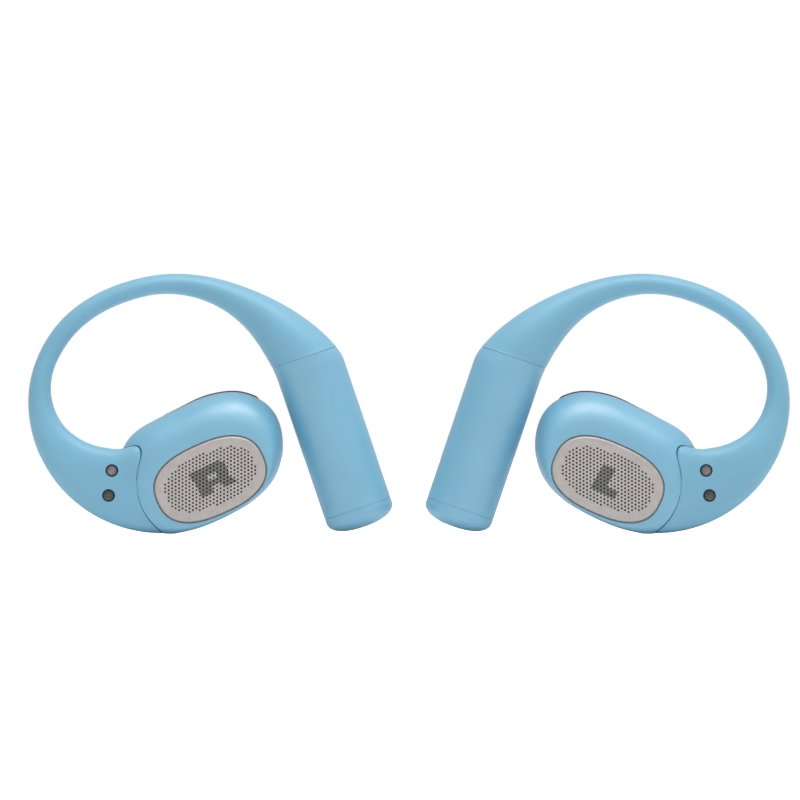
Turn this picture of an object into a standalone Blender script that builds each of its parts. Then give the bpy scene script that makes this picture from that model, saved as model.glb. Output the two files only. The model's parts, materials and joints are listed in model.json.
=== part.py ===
"""A pair of open-ear, ear-hook earphones, standing on a table the way they are worn.

World frame: metres, +Z up, the ear side of both earpieces towards -Y, the right earpiece at -X.
The origin is on the table, midway between the two earpieces.

Every dimension below is in millimetres. The right earpiece is drawn in plan coordinates (u, y, w):
u runs from the centre of the ear loop towards the battery barrel, w runs up, and y is world Y.
The left earpiece is its mirror image.
"""
import math

import bmesh
import bpy
from mathutils import Vector

MM = 0.001
SIDES = (("right", 1.0), ("left", -1.0))

# Where the centre of the ear loop lies.
LOOP_OFFSET = 36.6
LOOP_HEIGHT = 20.0

# Running and assembly clearances.
GAP = 0.3
SEAM_GAP = 0.2
WALL = 0.6

# Swivel axis of the speaker pod, from the loop centre.
PIVOT_U = 5.1
PIVOT_W = -12.25
PIVOT = (PIVOT_U, PIVOT_W)
SEAM_RADIUS = 9.4
SEAM_TOP_DEG = 145.0
SEAM_BOTTOM_DEG = 235.5

# Pod outline about the swivel axis: angle in degrees, radius. It closes on itself.
POD_OUTLINE = (
    (-124.5, 9.4),
    (-100, 7.42),
    (-70, 6.5),
    (-40, 7.08),
    (-16, 8.98),
    (5, 11.62),
    (28, 14.2),
    (45, 15.45),
    (64, 14.85),
    (84, 12.95),
    (104, 11.45),
    (125, 11.35),
    (150, 12.4),
    (180, 12.2),
    (210, 11.3),
)
POD_CENTRE = (2.3, 2.4)
POD_FACE_Y = -6.7
POD_SPLIT_Y = 0.65
POD_BACK_Y = 7.0
POD_COLUMN_DEG = 9.0
CROWN_EXPONENT = 2.3
FLOOR_EXPONENT_GAIN = 1.7
FLOOR_DEG = -95.0
LIP_DEPTH = 0.8

# Vent slot along the pod's top edge: its two ends, and the depth where the dome starts behind it.
VENT_DEG = (61.0, 111.0)
VENT_REAR_Y = 2.1
VENT_STRIP_Y = (0.95, 1.8)
VENT_STRIP_DEPTH = (0.1, 0.7)

# Speaker grille, from the swivel axis.
GRILLE_CENTRE = (1.75, 0.4)
GRILLE_TILT_DEG = 24.2
GRILLE_HALF = (8.5, 5.35)
GRILLE_EXPONENT = 2.5
GRILLE_RIM = 1.3
GRILLE_FRONT_Y = -7.0
BEZEL_BACK_Y = -5.4

# Swivel plate, hub and the window in the pod wall that the plate turns through.
PLATE_FRONT_Y = -0.55
PLATE_BACK_Y = 0.15
PLATE_NECK_HALF = 2.4
PLATE_RING_RADIUS = 4.9
NECK_W = -0.2
HUB_RADIUS = 1.95
HUB_CLEARANCE = 0.15
WINDOW_DEG = (157.0, 227.0)
WINDOW_Y = -0.85
STEP_MARGIN_DEG = 6.0

# Driver, from the swivel axis.
DRIVER_CENTRE = (2.0, 1.6)
DRIVER_RADIUS = 5.8

# Hook edges about the loop centre: angle in degrees, radius.
HOOK_OUTER = (
    (17, 26.6), (30, 24.35), (45, 21.87), (60, 20.28), (80, 19.17),
    (110, 18.66), (150, 19.87), (180, 20.5), (250, 20.3),
)
HOOK_INNER = (
    (17, 16.95), (30, 16.28), (60, 16.07), (90, 15.9), (114, 15.83),
    (150, 16.9), (172, 17.28), (190, 16.15), (203, 14.3), (220, 11.2),
)
# Hook depth on the ear side and on the outer side: angle in degrees, y.
HOOK_FRONT = (
    (17, -5.05), (30, -4.4), (45, -3.4), (60, -2.7), (80, -2.2),
    (110, -2.0), (150, -2.2), (180, -3.0), (200, -4.2), (220, -5.5),
)
HOOK_REAR = (
    (17, 5.05), (30, 4.4), (45, 3.4), (60, 2.7), (80, 2.2),
    (110, 2.0), (150, 1.8), (180, 1.2), (200, 0.7), (220, 0.5),
)
HORN_HALF = 5.05
LEAF_START_DEG = 220.0
LEAF_FRONT_Y = -6.3
LEAF_REAR_Y = 0.5
LEAF_TOP = (-3.3, -6.85)
LEAF_BOTTOM = (-0.25, -19.97)
LEAF_EXPONENT = 3.0
HOOK_SECTION_POINTS = 16

# Flexing point of the hook and its elastic travel.
FLEX_DEG = 137.7
FLEX_GAP_DEG = 0.5
FLEX_BEVEL_DEG = 1.3
WIRE_RADIUS = 0.5
WIRE_BORE_RADIUS = 0.8
WIRE_START_DEG = 26.0
WIRE_END_DEG = 212.0

# Charging contacts, from the loop centre.
CONTACTS = {"contact_upper": (-7.9, -10.55), "contact_lower": (-8.4, -14.3)}
CONTACT_RADIUS = 0.92
CONTACT_BORE_RADIUS = 1.07
CONTACT_FACE_Y = -5.55
CONTACT_BACK_Y = -3.4
BOARD_RADIUS = 1.5
POCKET_RADIUS = 1.85
COVER_RADIUS = 2.5

# Battery barrel: its axis crosses the loop's mid height at AXIS_U and leans outwards going down.
AXIS_U = 23.4
LEAN_DEG = 18.7
BARREL_RADIUS = 5.2
BARREL_BORE = 4.4
BARREL_TOP = -6.76
CAP_SEAM = 17.2
BARREL_END = 20.42
SOCKET_TOP = -7.9
SOCKET_RADIUS = 4.2

COLOURS = {
    "shell": (0.243, 0.520, 0.708),
    "silicone": (0.225, 0.500, 0.690),
    "grille": (0.450, 0.440, 0.420),
    "contact": (0.190, 0.170, 0.160),
    "steel": (0.550, 0.560, 0.570),
    "board": (0.020, 0.140, 0.070),
    "black": (0.020, 0.020, 0.022),
    "cloth": (0.040, 0.040, 0.042),
    "diaphragm": (0.300, 0.290, 0.270),
    "brass": (0.600, 0.450, 0.200),
    "cell": (0.160, 0.260, 0.560),
}
METALS = {"contact", "steel", "brass", "grille"}


# ---------------------------------------------------------------- outline helpers

def unit(degrees):
    """Unit vector in the plan at an angle."""
    angle = math.radians(degrees)
    return math.cos(angle), math.sin(angle)


def smooth(knots, x, period=None):
    """Cubic curve through knots whose slopes are the chords of their neighbours."""
    if period:
        first = knots[0][0]
        x = first + (x - first) % period
        before = tuple((a - period, v) for a, v in knots[-2:])
        after = tuple((a + period, v) for a, v in knots[:3])
        knots = before + tuple(knots) + after
    last = len(knots) - 2
    i = 0
    while i < last and x > knots[i + 1][0]:
        i += 1

    def slope(k):
        low = max(k - 1, 0)
        high = min(k + 1, len(knots) - 1)
        return (knots[high][1] - knots[low][1]) / (knots[high][0] - knots[low][0])

    x0, v0 = knots[i]
    x1, v1 = knots[i + 1]
    span = x1 - x0
    t = min(max((x - x0) / span, 0.0), 1.0)
    m0 = slope(i) * span
    m1 = slope(i + 1) * span
    return (
        (2 * t**3 - 3 * t**2 + 1) * v0
        + (t**3 - 2 * t**2 + t) * m0
        + (3 * t**2 - 2 * t**3) * v1
        + (t**3 - t**2) * m1
    )


def super_pair(degrees, exponent):
    """Point on a unit superellipse at a parametric angle."""
    c, s = unit(degrees)
    power = 2.0 / exponent
    return math.copysign(abs(c) ** power, c), math.copysign(abs(s) ** power, s)


def section_pair(degrees, exponent):
    """Point on a unit superellipse, spaced evenly across its width."""
    across, s = unit(degrees)
    depth = max(0.0, 1.0 - abs(across) ** exponent) ** (1.0 / exponent)
    return across, math.copysign(depth, s)


def pod_radius(degrees):
    """Radius of the pod outline about the swivel axis."""
    return smooth(POD_OUTLINE, degrees, 360.0)


def in_seam(degrees):
    """True where the hook base covers the pod's ear side."""
    return SEAM_TOP_DEG < degrees % 360.0 < SEAM_BOTTOM_DEG


def grille_radius(degrees, grow):
    """Distance from the swivel axis to the grille's outline, grown by an amount, along an angle."""
    du, dw = unit(degrees)
    ct, st = unit(GRILLE_TILT_DEG)
    low, high = 0.0, 20.0
    for _ in range(40):
        r = 0.5 * (low + high)
        u = r * du - GRILLE_CENTRE[0]
        w = r * dw - GRILLE_CENTRE[1]
        a = abs(u * ct + w * st) / (GRILLE_HALF[0] + grow)
        b = abs(w * ct - u * st) / (GRILLE_HALF[1] + grow)
        if a**GRILLE_EXPONENT + b**GRILLE_EXPONENT < 1.0:
            low = r
        else:
            high = r
    return low


def pod_point(degrees, radius, y):
    """Plan point at an angle and radius about the swivel axis."""
    c, s = unit(degrees)
    return PIVOT_U + radius * c, y, PIVOT_W + radius * s


def loop_point(degrees, radius, y=0.0):
    """Plan point at an angle and radius about the loop centre."""
    c, s = unit(degrees)
    return radius * c, y, radius * s


def barrel_point(across, y, along):
    """Plan point by the barrel's own axis: across is outwards, along runs down the barrel."""
    c, s = unit(LEAN_DEG)
    return AXIS_U + across * c + along * s, y, across * s - along * c


# ---------------------------------------------------------------- mesh helpers

def world(point, side):
    """Plan point in millimetres to world metres."""
    u, y, w = point
    return Vector((side * (u - LOOP_OFFSET) * MM, y * MM, (w + LOOP_HEIGHT) * MM))


def loft(rings, cyclic=False, ladder=False):
    """Skin a list of point rings into one closed mesh: a ring of rings, or a tube with its ends capped."""
    bm = bmesh.new()
    rows = [[bm.verts.new(p) for p in ring] for ring in rings]
    count = len(rows[0])
    pairs = list(zip(rows, rows[1:]))
    if cyclic:
        pairs.append((rows[-1], rows[0]))
    for a, b in pairs:
        for j in range(count):
            k = (j + 1) % count
            bm.faces.new((a[j], a[k], b[k], b[j]))
    if not cyclic:
        bm.faces.new(rows[0])
        if ladder:
            close_with_ladder(bm, rows[-1])
        else:
            bm.faces.new(rows[-1])
    return bm


def close_with_ladder(bm, ring):
    """Close a ring whose points j and -j face each other with straight rungs."""
    count = len(ring)
    half = count // 2
    bm.faces.new((ring[0], ring[1], ring[-1]))
    for j in range(1, half - 1):
        bm.faces.new((ring[j], ring[j + 1], ring[count - j - 1], ring[count - j]))
    bm.faces.new((ring[half - 1], ring[half], ring[half + 1]))


def turned(profile, place, segments=16, cyclic=False):
    """Turn a profile of (radius, along) about an axis. place maps (x, y, along) to plan coordinates."""
    rings = []
    for radius, along in profile:
        ring = []
        for j in range(segments):
            c, s = unit(360.0 * j / segments)
            ring.append(place(radius * c, radius * s, along))
        rings.append(ring)
    return loft(rings, cyclic)


def depth_axis(centre):
    """Placement for a piece turned about a line along Y, through a plan point."""
    return lambda a, b, along: (centre[0] + a, along, centre[1] + b)


def barrel_axis(a, b, along):
    """Placement for a piece turned about the barrel's axis."""
    return barrel_point(a, b, along)


def plate(outline, y0, y1):
    """Flat plate between two depths."""
    rings = [[(u, y, w) for u, w in outline] for y in (y0, y1)]
    return loft(rings)


def capsule(start, end, radius, steps=8):
    """Outline of a slot with round ends."""
    heading = math.degrees(math.atan2(end[1] - start[1], end[0] - start[0]))
    points = []
    for centre, first in ((start, heading + 90.0), (end, heading - 90.0)):
        for i in range(steps + 1):
            c, s = unit(first + 180.0 * i / steps)
            points.append((centre[0] + radius * c, centre[1] + radius * s))
    return points


def from_pivot(offset):
    """Offset from the swivel axis to a plan point."""
    return PIVOT_U + offset[0], PIVOT_W + offset[1]


# ---------------------------------------------------------------- scene helpers

def clear_scene():
    """Remove whatever the file starts with."""
    for obj in list(bpy.data.objects):
        bpy.data.objects.remove(obj, do_unlink=True)
    for mesh in list(bpy.data.meshes):
        bpy.data.meshes.remove(mesh)


def material(name, finish):
    """Principled material of one sub-part."""
    mat = bpy.data.materials.new(name)
    mat.use_nodes = True
    shader = mat.node_tree.nodes["Principled BSDF"]
    shader.inputs["Base Color"].default_value = (*COLOURS[finish], 1.0)
    shader.inputs["Metallic"].default_value = 0.9 if finish in METALS else 0.0
    shader.inputs["Roughness"].default_value = 0.35 if finish in METALS else 0.5
    mat.diffuse_color = (*COLOURS[finish], 1.0)
    return mat


def pivot_empty(name, point, side):
    """Empty on a joint's axis, the parent of what turns with it."""
    empty = bpy.data.objects.new(name, None)
    bpy.context.collection.objects.link(empty)
    empty.location = world(point, side)
    empty.empty_display_size = 0.004
    return empty


def mesh_object(name, bm, parent, side):
    """Turn plan geometry into an object under its pivot, facing out."""
    for vert in bm.verts:
        vert.co = world(vert.co, side) - parent.location
    bmesh.ops.recalc_face_normals(bm, faces=bm.faces)
    if bm.calc_volume(signed=True) < 0.0:
        bmesh.ops.reverse_faces(bm, faces=bm.faces)
    mesh = bpy.data.meshes.new(name)
    bm.to_mesh(mesh)
    bm.free()
    mesh.shade_smooth()
    mesh.set_sharp_from_angle(angle=math.radians(35.0))
    obj = bpy.data.objects.new(name, mesh)
    bpy.context.collection.objects.link(obj)
    obj.parent = parent
    return obj


def node(name, bm, parent, side, finish):
    """One named sub-part."""
    obj = mesh_object(name, bm, parent, side)
    obj.data.materials.append(material(name, finish))
    return obj


def cut(target, name, bm, parent, side):
    """Subtract a guide shape from a sub-part."""
    cutter = mesh_object(name, bm, parent, side)
    cutter.hide_render = True
    cutter.display_type = "WIRE"
    boolean = target.modifiers.new(name, "BOOLEAN")
    boolean.operation = "DIFFERENCE"
    boolean.solver = "EXACT"
    boolean.object = cutter


# ---------------------------------------------------------------- speaker pod

def pod_columns():
    """Angles of the pod's columns, with close pairs where the hook base begins and ends."""
    step = POD_COLUMN_DEG
    angles = {SEAM_TOP_DEG - 0.6, SEAM_TOP_DEG + 0.6, SEAM_BOTTOM_DEG - 0.6, SEAM_BOTTOM_DEG + 0.6}
    edges = (SEAM_TOP_DEG, SEAM_BOTTOM_DEG)
    for i in range(int(360.0 / step)):
        angle = -90.0 + i * step
        if all(abs(angle - edge) > 0.35 * step for edge in edges):
            angles.add(angle)
    return sorted(angles)


def pod_boundary(degrees):
    """Outer radius of the pod's ear-side half: its own outline, or the seam against the hook base."""
    if in_seam(degrees):
        return SEAM_RADIUS - GAP
    return pod_radius(degrees)


def pod_inner_boundary(degrees):
    """Inner radius of the ear-side wall, kept a wall's thickness inside the outline's two steps."""
    ahead = pod_boundary(degrees + STEP_MARGIN_DEG)
    behind = pod_boundary(degrees - STEP_MARGIN_DEG)
    here = pod_boundary(degrees)
    if in_seam(degrees + STEP_MARGIN_DEG) or in_seam(degrees - STEP_MARGIN_DEG):
        here = min(here, ahead, behind)
    return here - WALL


def crown_outline(degrees):
    """Outline that the ear-side crown would run down to if the hook base didn't cut it short."""
    radius = pod_radius(degrees)
    if in_seam(degrees):
        share = (degrees % 360.0 - SEAM_TOP_DEG) / (SEAM_BOTTOM_DEG - SEAM_TOP_DEG)
        radius += 2.0 * math.sin(math.pi * share)
    return radius


def crown_exponent(degrees):
    """Squareness of the pod's cross-section: fuller along the bottom, where the pod stands."""
    lean = max(0.0, math.cos(math.radians(degrees - FLOOR_DEG)))
    return CROWN_EXPONENT + FLOOR_EXPONENT_GAIN * lean * lean


def split_level(degrees):
    """Depth of the ear-side shell's rim, raised where the swivel plate passes under it."""
    low, high = WINDOW_DEG
    if low < degrees % 360.0 < high:
        return WINDOW_Y
    return POD_SPLIT_Y


def pod_front_shell():
    """Ear-side half of the speaker housing, with an oval opening for the grille."""
    columns = pod_columns()
    outer_steps, inner_steps = 6, 3
    rings = []
    for steps, inset in ((outer_steps, 0.0), (inner_steps, WALL)):
        layer = [[] for _ in range(steps + 1)]
        for degrees in columns:
            start = grille_radius(degrees, SEAM_GAP)
            full = crown_outline(degrees) - inset
            edge = pod_inner_boundary(degrees) if inset else pod_boundary(degrees)
            power = crown_exponent(degrees)
            share = min((edge - start) / (full - start), 1.0)
            widest = math.degrees(math.asin(share ** (power / 2.0)))
            face = POD_FACE_Y + inset
            for k in range(steps + 1):
                height, out = super_pair(widest * k / steps, power)
                y = POD_SPLIT_Y + (face - POD_SPLIT_Y) * height
                y = min(y, split_level(degrees))
                layer[k].append(pod_point(degrees, start + (full - start) * out, y))
        rim = []
        for degrees in columns:
            edge = pod_inner_boundary(degrees) if inset else pod_boundary(degrees)
            rim.append(pod_point(degrees, edge, split_level(degrees) + 0.02))
        layer.append(rim)
        rings += reversed(layer) if inset else layer
    return loft(rings, cyclic=True)


def pod_rear_shell():
    """Outer half of the speaker housing: a domed cup whose lip closes behind the hook base."""
    columns = pod_columns()
    rim_y = POD_SPLIT_Y + GAP
    centre = from_pivot(POD_CENTRE)

    def dome(inset, steps):
        layer = []
        for k in range(steps + 1):
            ring = []
            for degrees in columns:
                power = crown_exponent(degrees)
                height, out = super_pair(90.0 * (k + 0.6) / (steps + 0.6), power)
                start = rim_y + (LIP_DEPTH if inset else 0.0)
                if in_vent(degrees):
                    start = max(start, VENT_REAR_Y)
                u, _, w = pod_point(degrees, pod_radius(degrees) - inset, 0.0)
                y = start + (POD_BACK_Y - inset - start) * height
                ring.append((centre[0] + (u - centre[0]) * out, y, centre[1] + (w - centre[1]) * out))
            layer.append(ring)
        return layer

    lip = []
    for y in (rim_y, rim_y + LIP_DEPTH - 0.1):
        ring = []
        for degrees in columns:
            radius = pod_radius(degrees) - WALL - 0.1
            if in_seam(degrees):
                radius = SEAM_RADIUS - GAP - WALL
            level = y + (VENT_REAR_Y - rim_y if in_vent(degrees) else 0.0) * (1.0 if y == rim_y else 0.3)
            ring.append(pod_point(degrees, radius, level))
        lip.append(ring)
    return loft(dome(0.0, 6) + lip + list(reversed(dome(WALL, 4))))


def in_vent(degrees):
    """True where the housing's top edge has its vent slot."""
    return VENT_DEG[0] < degrees < VENT_DEG[1]


def rear_vent_mesh():
    """Thin strip of mesh in the slot along the pod's top edge."""
    low, high = VENT_DEG[0] + POD_COLUMN_DEG, VENT_DEG[1] - POD_COLUMN_DEG
    outer, inner = VENT_STRIP_DEPTH
    y0, y1 = VENT_STRIP_Y
    count = 10
    rings = []
    for i in range(count + 1):
        degrees = low + (high - low) * i / count
        radius = pod_radius(degrees)
        ring = [
            pod_point(degrees, radius - depth, y)
            for depth, y in ((outer, y0), (outer, y1), (inner, y1), (inner, y0))
        ]
        rings.append(ring)
    return loft(rings)


def grille_outline(grow, columns=30):
    """Points round the grille's oval, grown or shrunk by an amount."""
    ct, st = unit(GRILLE_TILT_DEG)
    centre = from_pivot(GRILLE_CENTRE)
    points = []
    for i in range(columns):
        a, b = super_pair(360.0 * (i + 0.5) / columns, GRILLE_EXPONENT)
        a *= GRILLE_HALF[0] + grow
        b *= GRILLE_HALF[1] + grow
        points.append((centre[0] + a * ct - b * st, centre[1] + a * st + b * ct))
    return points


def grille_bezel():
    """Oval rim with a rebate behind it for the mesh."""
    lip_y = GRILLE_FRONT_Y + 0.3
    rebate = GRILLE_RIM - 0.7
    profile = (
        (-0.35, GRILLE_FRONT_Y),
        (0.0, GRILLE_FRONT_Y + 0.3),
        (0.0, BEZEL_BACK_Y),
        (-rebate, BEZEL_BACK_Y),
        (-rebate, lip_y),
        (-GRILLE_RIM, lip_y),
        (-GRILLE_RIM, GRILLE_FRONT_Y + 0.05),
    )
    rings = [[(u, y, w) for u, w in grille_outline(grow)] for grow, y in profile]
    return loft(rings, cyclic=True)


def grille_plate(grow, y0, y1):
    """Flat oval plate that follows the grille's outline."""
    return plate(grille_outline(grow, 24), y0, y1)


def driver_frame():
    """Round basket of the driver."""
    r = DRIVER_RADIUS
    profile = (
        (r, -5.1),
        (r, -3.6),
        (r - 0.9, -2.6),
        (3.8, -2.6),
        (3.8, -3.1),
        (r - 1.3, -3.1),
        (r - 0.6, -3.9),
        (r - 0.6, -5.1),
    )
    return turned(profile, depth_axis(from_pivot(DRIVER_CENTRE)), cyclic=True)


def driver_diaphragm():
    """Domed cone with a rolled surround."""
    r = DRIVER_RADIUS - 0.9
    front = ((0.3, -4.9), (1.6, -4.75), (2.4, -4.45), (3.3, -4.6), (4.1, -4.85), (r, -4.6))
    back = tuple((radius, y + 0.15) for radius, y in reversed(front))
    return turned(front + back, depth_axis(from_pivot(DRIVER_CENTRE)), cyclic=False)


def driver_magnet():
    """Magnet in its yoke cup."""
    profile = ((2.6, -4.1), (3.2, -3.9), (3.4, -3.7), (3.4, -2.7), (3.2, -2.5))
    return turned(profile, depth_axis(from_pivot(DRIVER_CENTRE)))


def scaled_pod_outline(scale, columns):
    """Pod outline drawn in towards the housing's centre."""
    centre = from_pivot(POD_CENTRE)
    points = []
    for i in range(columns):
        degrees = 360.0 * i / columns
        u, _, w = pod_point(degrees, pod_radius(degrees), 0.0)
        points.append((centre[0] + (u - centre[0]) * scale, centre[1] + (w - centre[1]) * scale))
    return points


def pierced_plate(scale, hole, y0, y1):
    """Plate of the pod's outline with a round hole at the swivel axis."""
    columns = 20
    outline = scaled_pod_outline(scale, columns)
    bore = []
    for i in range(columns):
        u, _, w = pod_point(360.0 * i / columns, hole, 0.0)
        bore.append((u, w))
    rings = [
        [(u, y0, w) for u, w in outline],
        [(u, y1, w) for u, w in outline],
        [(u, y1, w) for u, w in bore],
        [(u, y0, w) for u, w in bore],
    ]
    return loft(rings, cyclic=True)


def microphone():
    """Small can on the main board."""
    centre = from_pivot((7.0, 4.5))
    half = (1.4, 0.95)
    corners = ((-1, -1), (1, -1), (1, 1), (-1, 1))
    outline = [(centre[0] + a * half[0], centre[1] + b * half[1]) for a, b in corners]
    return plate(outline, 3.9, 4.8)


def swivel_hub():
    """Post on the outer shell that the hook's plate turns on, bored for the pivot screw."""
    profile = (
        (0.85, 0.3),
        (0.85, -1.15),
        (HUB_RADIUS, -1.15),
        (HUB_RADIUS, 0.45),
        (3.4, 0.45),
        (3.4, 1.1),
        (2.5, 1.1),
        (2.5, 5.7),
    )
    return turned(profile, depth_axis(PIVOT))


def ring_part(inner, outer, y0, y1, segments=16):
    """Flat ring round the swivel axis."""
    profile = ((inner, y0), (outer, y0), (outer, y1), (inner, y1))
    return turned(profile, depth_axis(PIVOT), segments, cyclic=True)


def pivot_screw():
    """Pan-head screw that closes the swivel."""
    profile = ((1.2, -2.2), (1.6, -2.0), (1.6, -1.8), (0.6, -1.8), (0.6, 0.0))
    return turned(profile, depth_axis(PIVOT), 18)


def build_pod(prefix, side, parent):
    """Everything that swivels."""
    rim = GRILLE_RIM
    parts = (
        ("pod_front_shell", pod_front_shell(), "shell"),
        ("pod_rear_shell", pod_rear_shell(), "shell"),
        ("rear_vent_mesh", rear_vent_mesh(), "black"),
        ("grille_bezel", grille_bezel(), "grille"),
        ("grille_mesh", grille_plate(-(rim - 0.35), -6.4, -6.2), "grille"),
        ("dust_cloth", grille_plate(-(rim - 0.35), -5.9, -5.8), "cloth"),
        ("driver_frame", driver_frame(), "black"),
        ("driver_diaphragm", driver_diaphragm(), "diaphragm"),
        ("driver_magnet", driver_magnet(), "steel"),
        ("main_board", pierced_plate(0.68, 3.1, 3.0, 3.6), "board"),
        ("microphone", microphone(), "steel"),
        ("touch_sensor", pierced_plate(0.6, 2.8, 5.1, 5.25), "brass"),
        ("swivel_hub", swivel_hub(), "black"),
        ("detent_spring", ring_part(2.3, 4.3, -1.05, -0.85), "steel"),
        ("retaining_ring", ring_part(0.95, 3.0, -1.55, -1.35), "steel"),
        ("pivot_screw", pivot_screw(), "steel"),
    )
    for name, bm, finish in parts:
        node(f"{prefix}_{name}", bm, parent, side, finish)


# ---------------------------------------------------------------- ear hook

def hook_section(inner, outer, front, rear, exponent, bulge=None):
    """Ring of a hook section from its inner plan point to its outer one."""
    ring = []
    for j in range(HOOK_SECTION_POINTS):
        a, b = section_pair(360.0 * j / HOOK_SECTION_POINTS, exponent)
        share = 0.5 * (a + 1.0)
        u = inner[0] + (outer[0] - inner[0]) * share
        w = inner[1] + (outer[1] - inner[1]) * share
        if bulge:
            du, dw = bulge(share)
            u += du
            w += dw
        ring.append((u, 0.5 * (front + rear) + 0.5 * (rear - front) * b, w))
    return ring


def arm_section(degrees, outer_degrees=None):
    """Hook section at an angle about the loop centre."""
    outer_degrees = outer_degrees or degrees
    inner = loop_point(degrees, smooth(HOOK_INNER, degrees))
    outer = loop_point(outer_degrees, smooth(HOOK_OUTER, outer_degrees))
    exponent = 2.0 + (LEAF_EXPONENT - 2.0) * min(max((degrees - 180.0) / 40.0, 0.0), 1.0)
    front = smooth(HOOK_FRONT, degrees)
    rear = smooth(HOOK_REAR, degrees)
    return hook_section((inner[0], inner[2]), (outer[0], outer[2]), front, rear, exponent)


def leaf_section(t):
    """Section of the hook base between its start (0) and the seam round the pod (1)."""
    start_in = loop_point(LEAF_START_DEG, smooth(HOOK_INNER, LEAF_START_DEG))
    inner = (start_in[0] + (LEAF_TOP[0] - start_in[0]) * t, start_in[2] + (LEAF_TOP[1] - start_in[2]) * t)
    end_deg = math.degrees(math.atan2(LEAF_BOTTOM[1], LEAF_BOTTOM[0])) % 360.0
    outer_deg = LEAF_START_DEG + (end_deg - LEAF_START_DEG) * t
    start_r = smooth(HOOK_OUTER, LEAF_START_DEG)
    end_r = math.hypot(*LEAF_BOTTOM)
    outer = loop_point(outer_deg, start_r + (end_r - start_r) * t)

    def bulge(share):
        chord = (
            LEAF_TOP[0] + (LEAF_BOTTOM[0] - LEAF_TOP[0]) * share,
            LEAF_TOP[1] + (LEAF_BOTTOM[1] - LEAF_TOP[1]) * share,
        )
        first = math.degrees(math.atan2(LEAF_TOP[1] - PIVOT_W, LEAF_TOP[0] - PIVOT_U)) % 360.0
        last = math.degrees(math.atan2(LEAF_BOTTOM[1] - PIVOT_W, LEAF_BOTTOM[0] - PIVOT_U)) % 360.0
        arc = pod_point(first + (last - first) * share, SEAM_RADIUS, 0.0)
        weight = t * t
        return (arc[0] - chord[0]) * weight, (arc[2] - chord[1]) * weight

    front = smooth(HOOK_FRONT, LEAF_START_DEG) * (1.0 - t) + LEAF_FRONT_Y * t
    return hook_section(inner, (outer[0], outer[2]), front, LEAF_REAR_Y, LEAF_EXPONENT, bulge)


def hook_front_arm():
    """Hook base beside the pod and the thin arc up to the flexing point."""
    first = FLEX_DEG + FLEX_GAP_DEG
    steps = 9
    rings = [arm_section(first + (LEAF_START_DEG - 1.0 - first) * i / steps) for i in range(steps + 1)]
    leaf_steps = 6
    rings += [leaf_section((i + 0.5) / (leaf_steps + 0.5)) for i in range(leaf_steps)]
    rings.append(leaf_section(1.0))
    return loft(rings, ladder=True)


def hook_rear_arm():
    """Rest of the thin arc, thickening into the horn above the barrel."""
    first = FLEX_DEG - FLEX_GAP_DEG
    steps = 12
    last = 24.0
    rings = [arm_section(first, first - FLEX_BEVEL_DEG)]
    rings += [arm_section(first - 3.0 - (first - 3.0 - last) * i / steps) for i in range(steps + 1)]
    edge = BARREL_TOP - SEAM_GAP
    inner = barrel_point(-HORN_HALF, 0.0, edge)
    outer = barrel_point(HORN_HALF, 0.0, edge)
    ends = ((inner[0], inner[2]), (outer[0], outer[2]))
    rings.append(hook_section(*ends, -HORN_HALF, HORN_HALF, 2.0))
    return loft(rings)


def wire_tube(start_deg, end_deg, radius, sides=8):
    """Round wire along the middle of the hook."""
    steps = max(4, int(abs(end_deg - start_deg) / 7.0))
    rings = []
    for i in range(steps + 1):
        degrees = start_deg + (end_deg - start_deg) * i / steps
        middle = 0.5 * (smooth(HOOK_INNER, degrees) + smooth(HOOK_OUTER, degrees))
        depth = 0.5 * (smooth(HOOK_FRONT, degrees) + smooth(HOOK_REAR, degrees))
        ring = []
        for j in range(sides):
            c, s = unit(360.0 * j / sides)
            ring.append(loop_point(degrees, middle + radius * c, depth + radius * s))
        rings.append(ring)
    return loft(rings)


def contact_pin():
    """Profile of a charging contact: flat face, head and stem."""
    r = CONTACT_RADIUS
    return ((r - 0.12, CONTACT_FACE_Y), (r, CONTACT_FACE_Y + 0.12), (r, CONTACT_BACK_Y))


def swivel_carrier():
    """Steel plate: a cover behind the contacts, a neck into the pod and the ring round the hub."""
    ring_bore = HUB_RADIUS + HUB_CLEARANCE
    upper, lower = CONTACTS["contact_upper"], CONTACTS["contact_lower"]
    neck_w = PIVOT_W + NECK_W
    half = PLATE_NECK_HALF
    half_angle = math.degrees(math.asin(half / PLATE_RING_RADIUS))
    outline = []
    ring_steps = 18
    for i in range(ring_steps + 1):
        degrees = -180.0 + half_angle + (360.0 - 2.0 * half_angle) * i / ring_steps
        c, s = unit(degrees)
        outline.append((PIVOT_U + PLATE_RING_RADIUS * c, PIVOT_W + PLATE_RING_RADIUS * s))
    cover = capsule(lower, upper, COVER_RADIUS)
    right_side = max(p[0] for p in cover) - 0.4
    outline.append((right_side, neck_w + half))
    for i in range(13):
        c, s = unit(20.0 + 160.0 * i / 12.0)
        outline.append((upper[0] + COVER_RADIUS * c, upper[1] + COVER_RADIUS * s))
    for i in range(13):
        c, s = unit(180.0 + 160.0 * i / 12.0)
        outline.append((lower[0] + COVER_RADIUS * c, lower[1] + COVER_RADIUS * s))
    outline.append((right_side, neck_w - half))
    bm = plate(outline, PLATE_FRONT_Y, PLATE_BACK_Y)
    return bm, ring_bore


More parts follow.
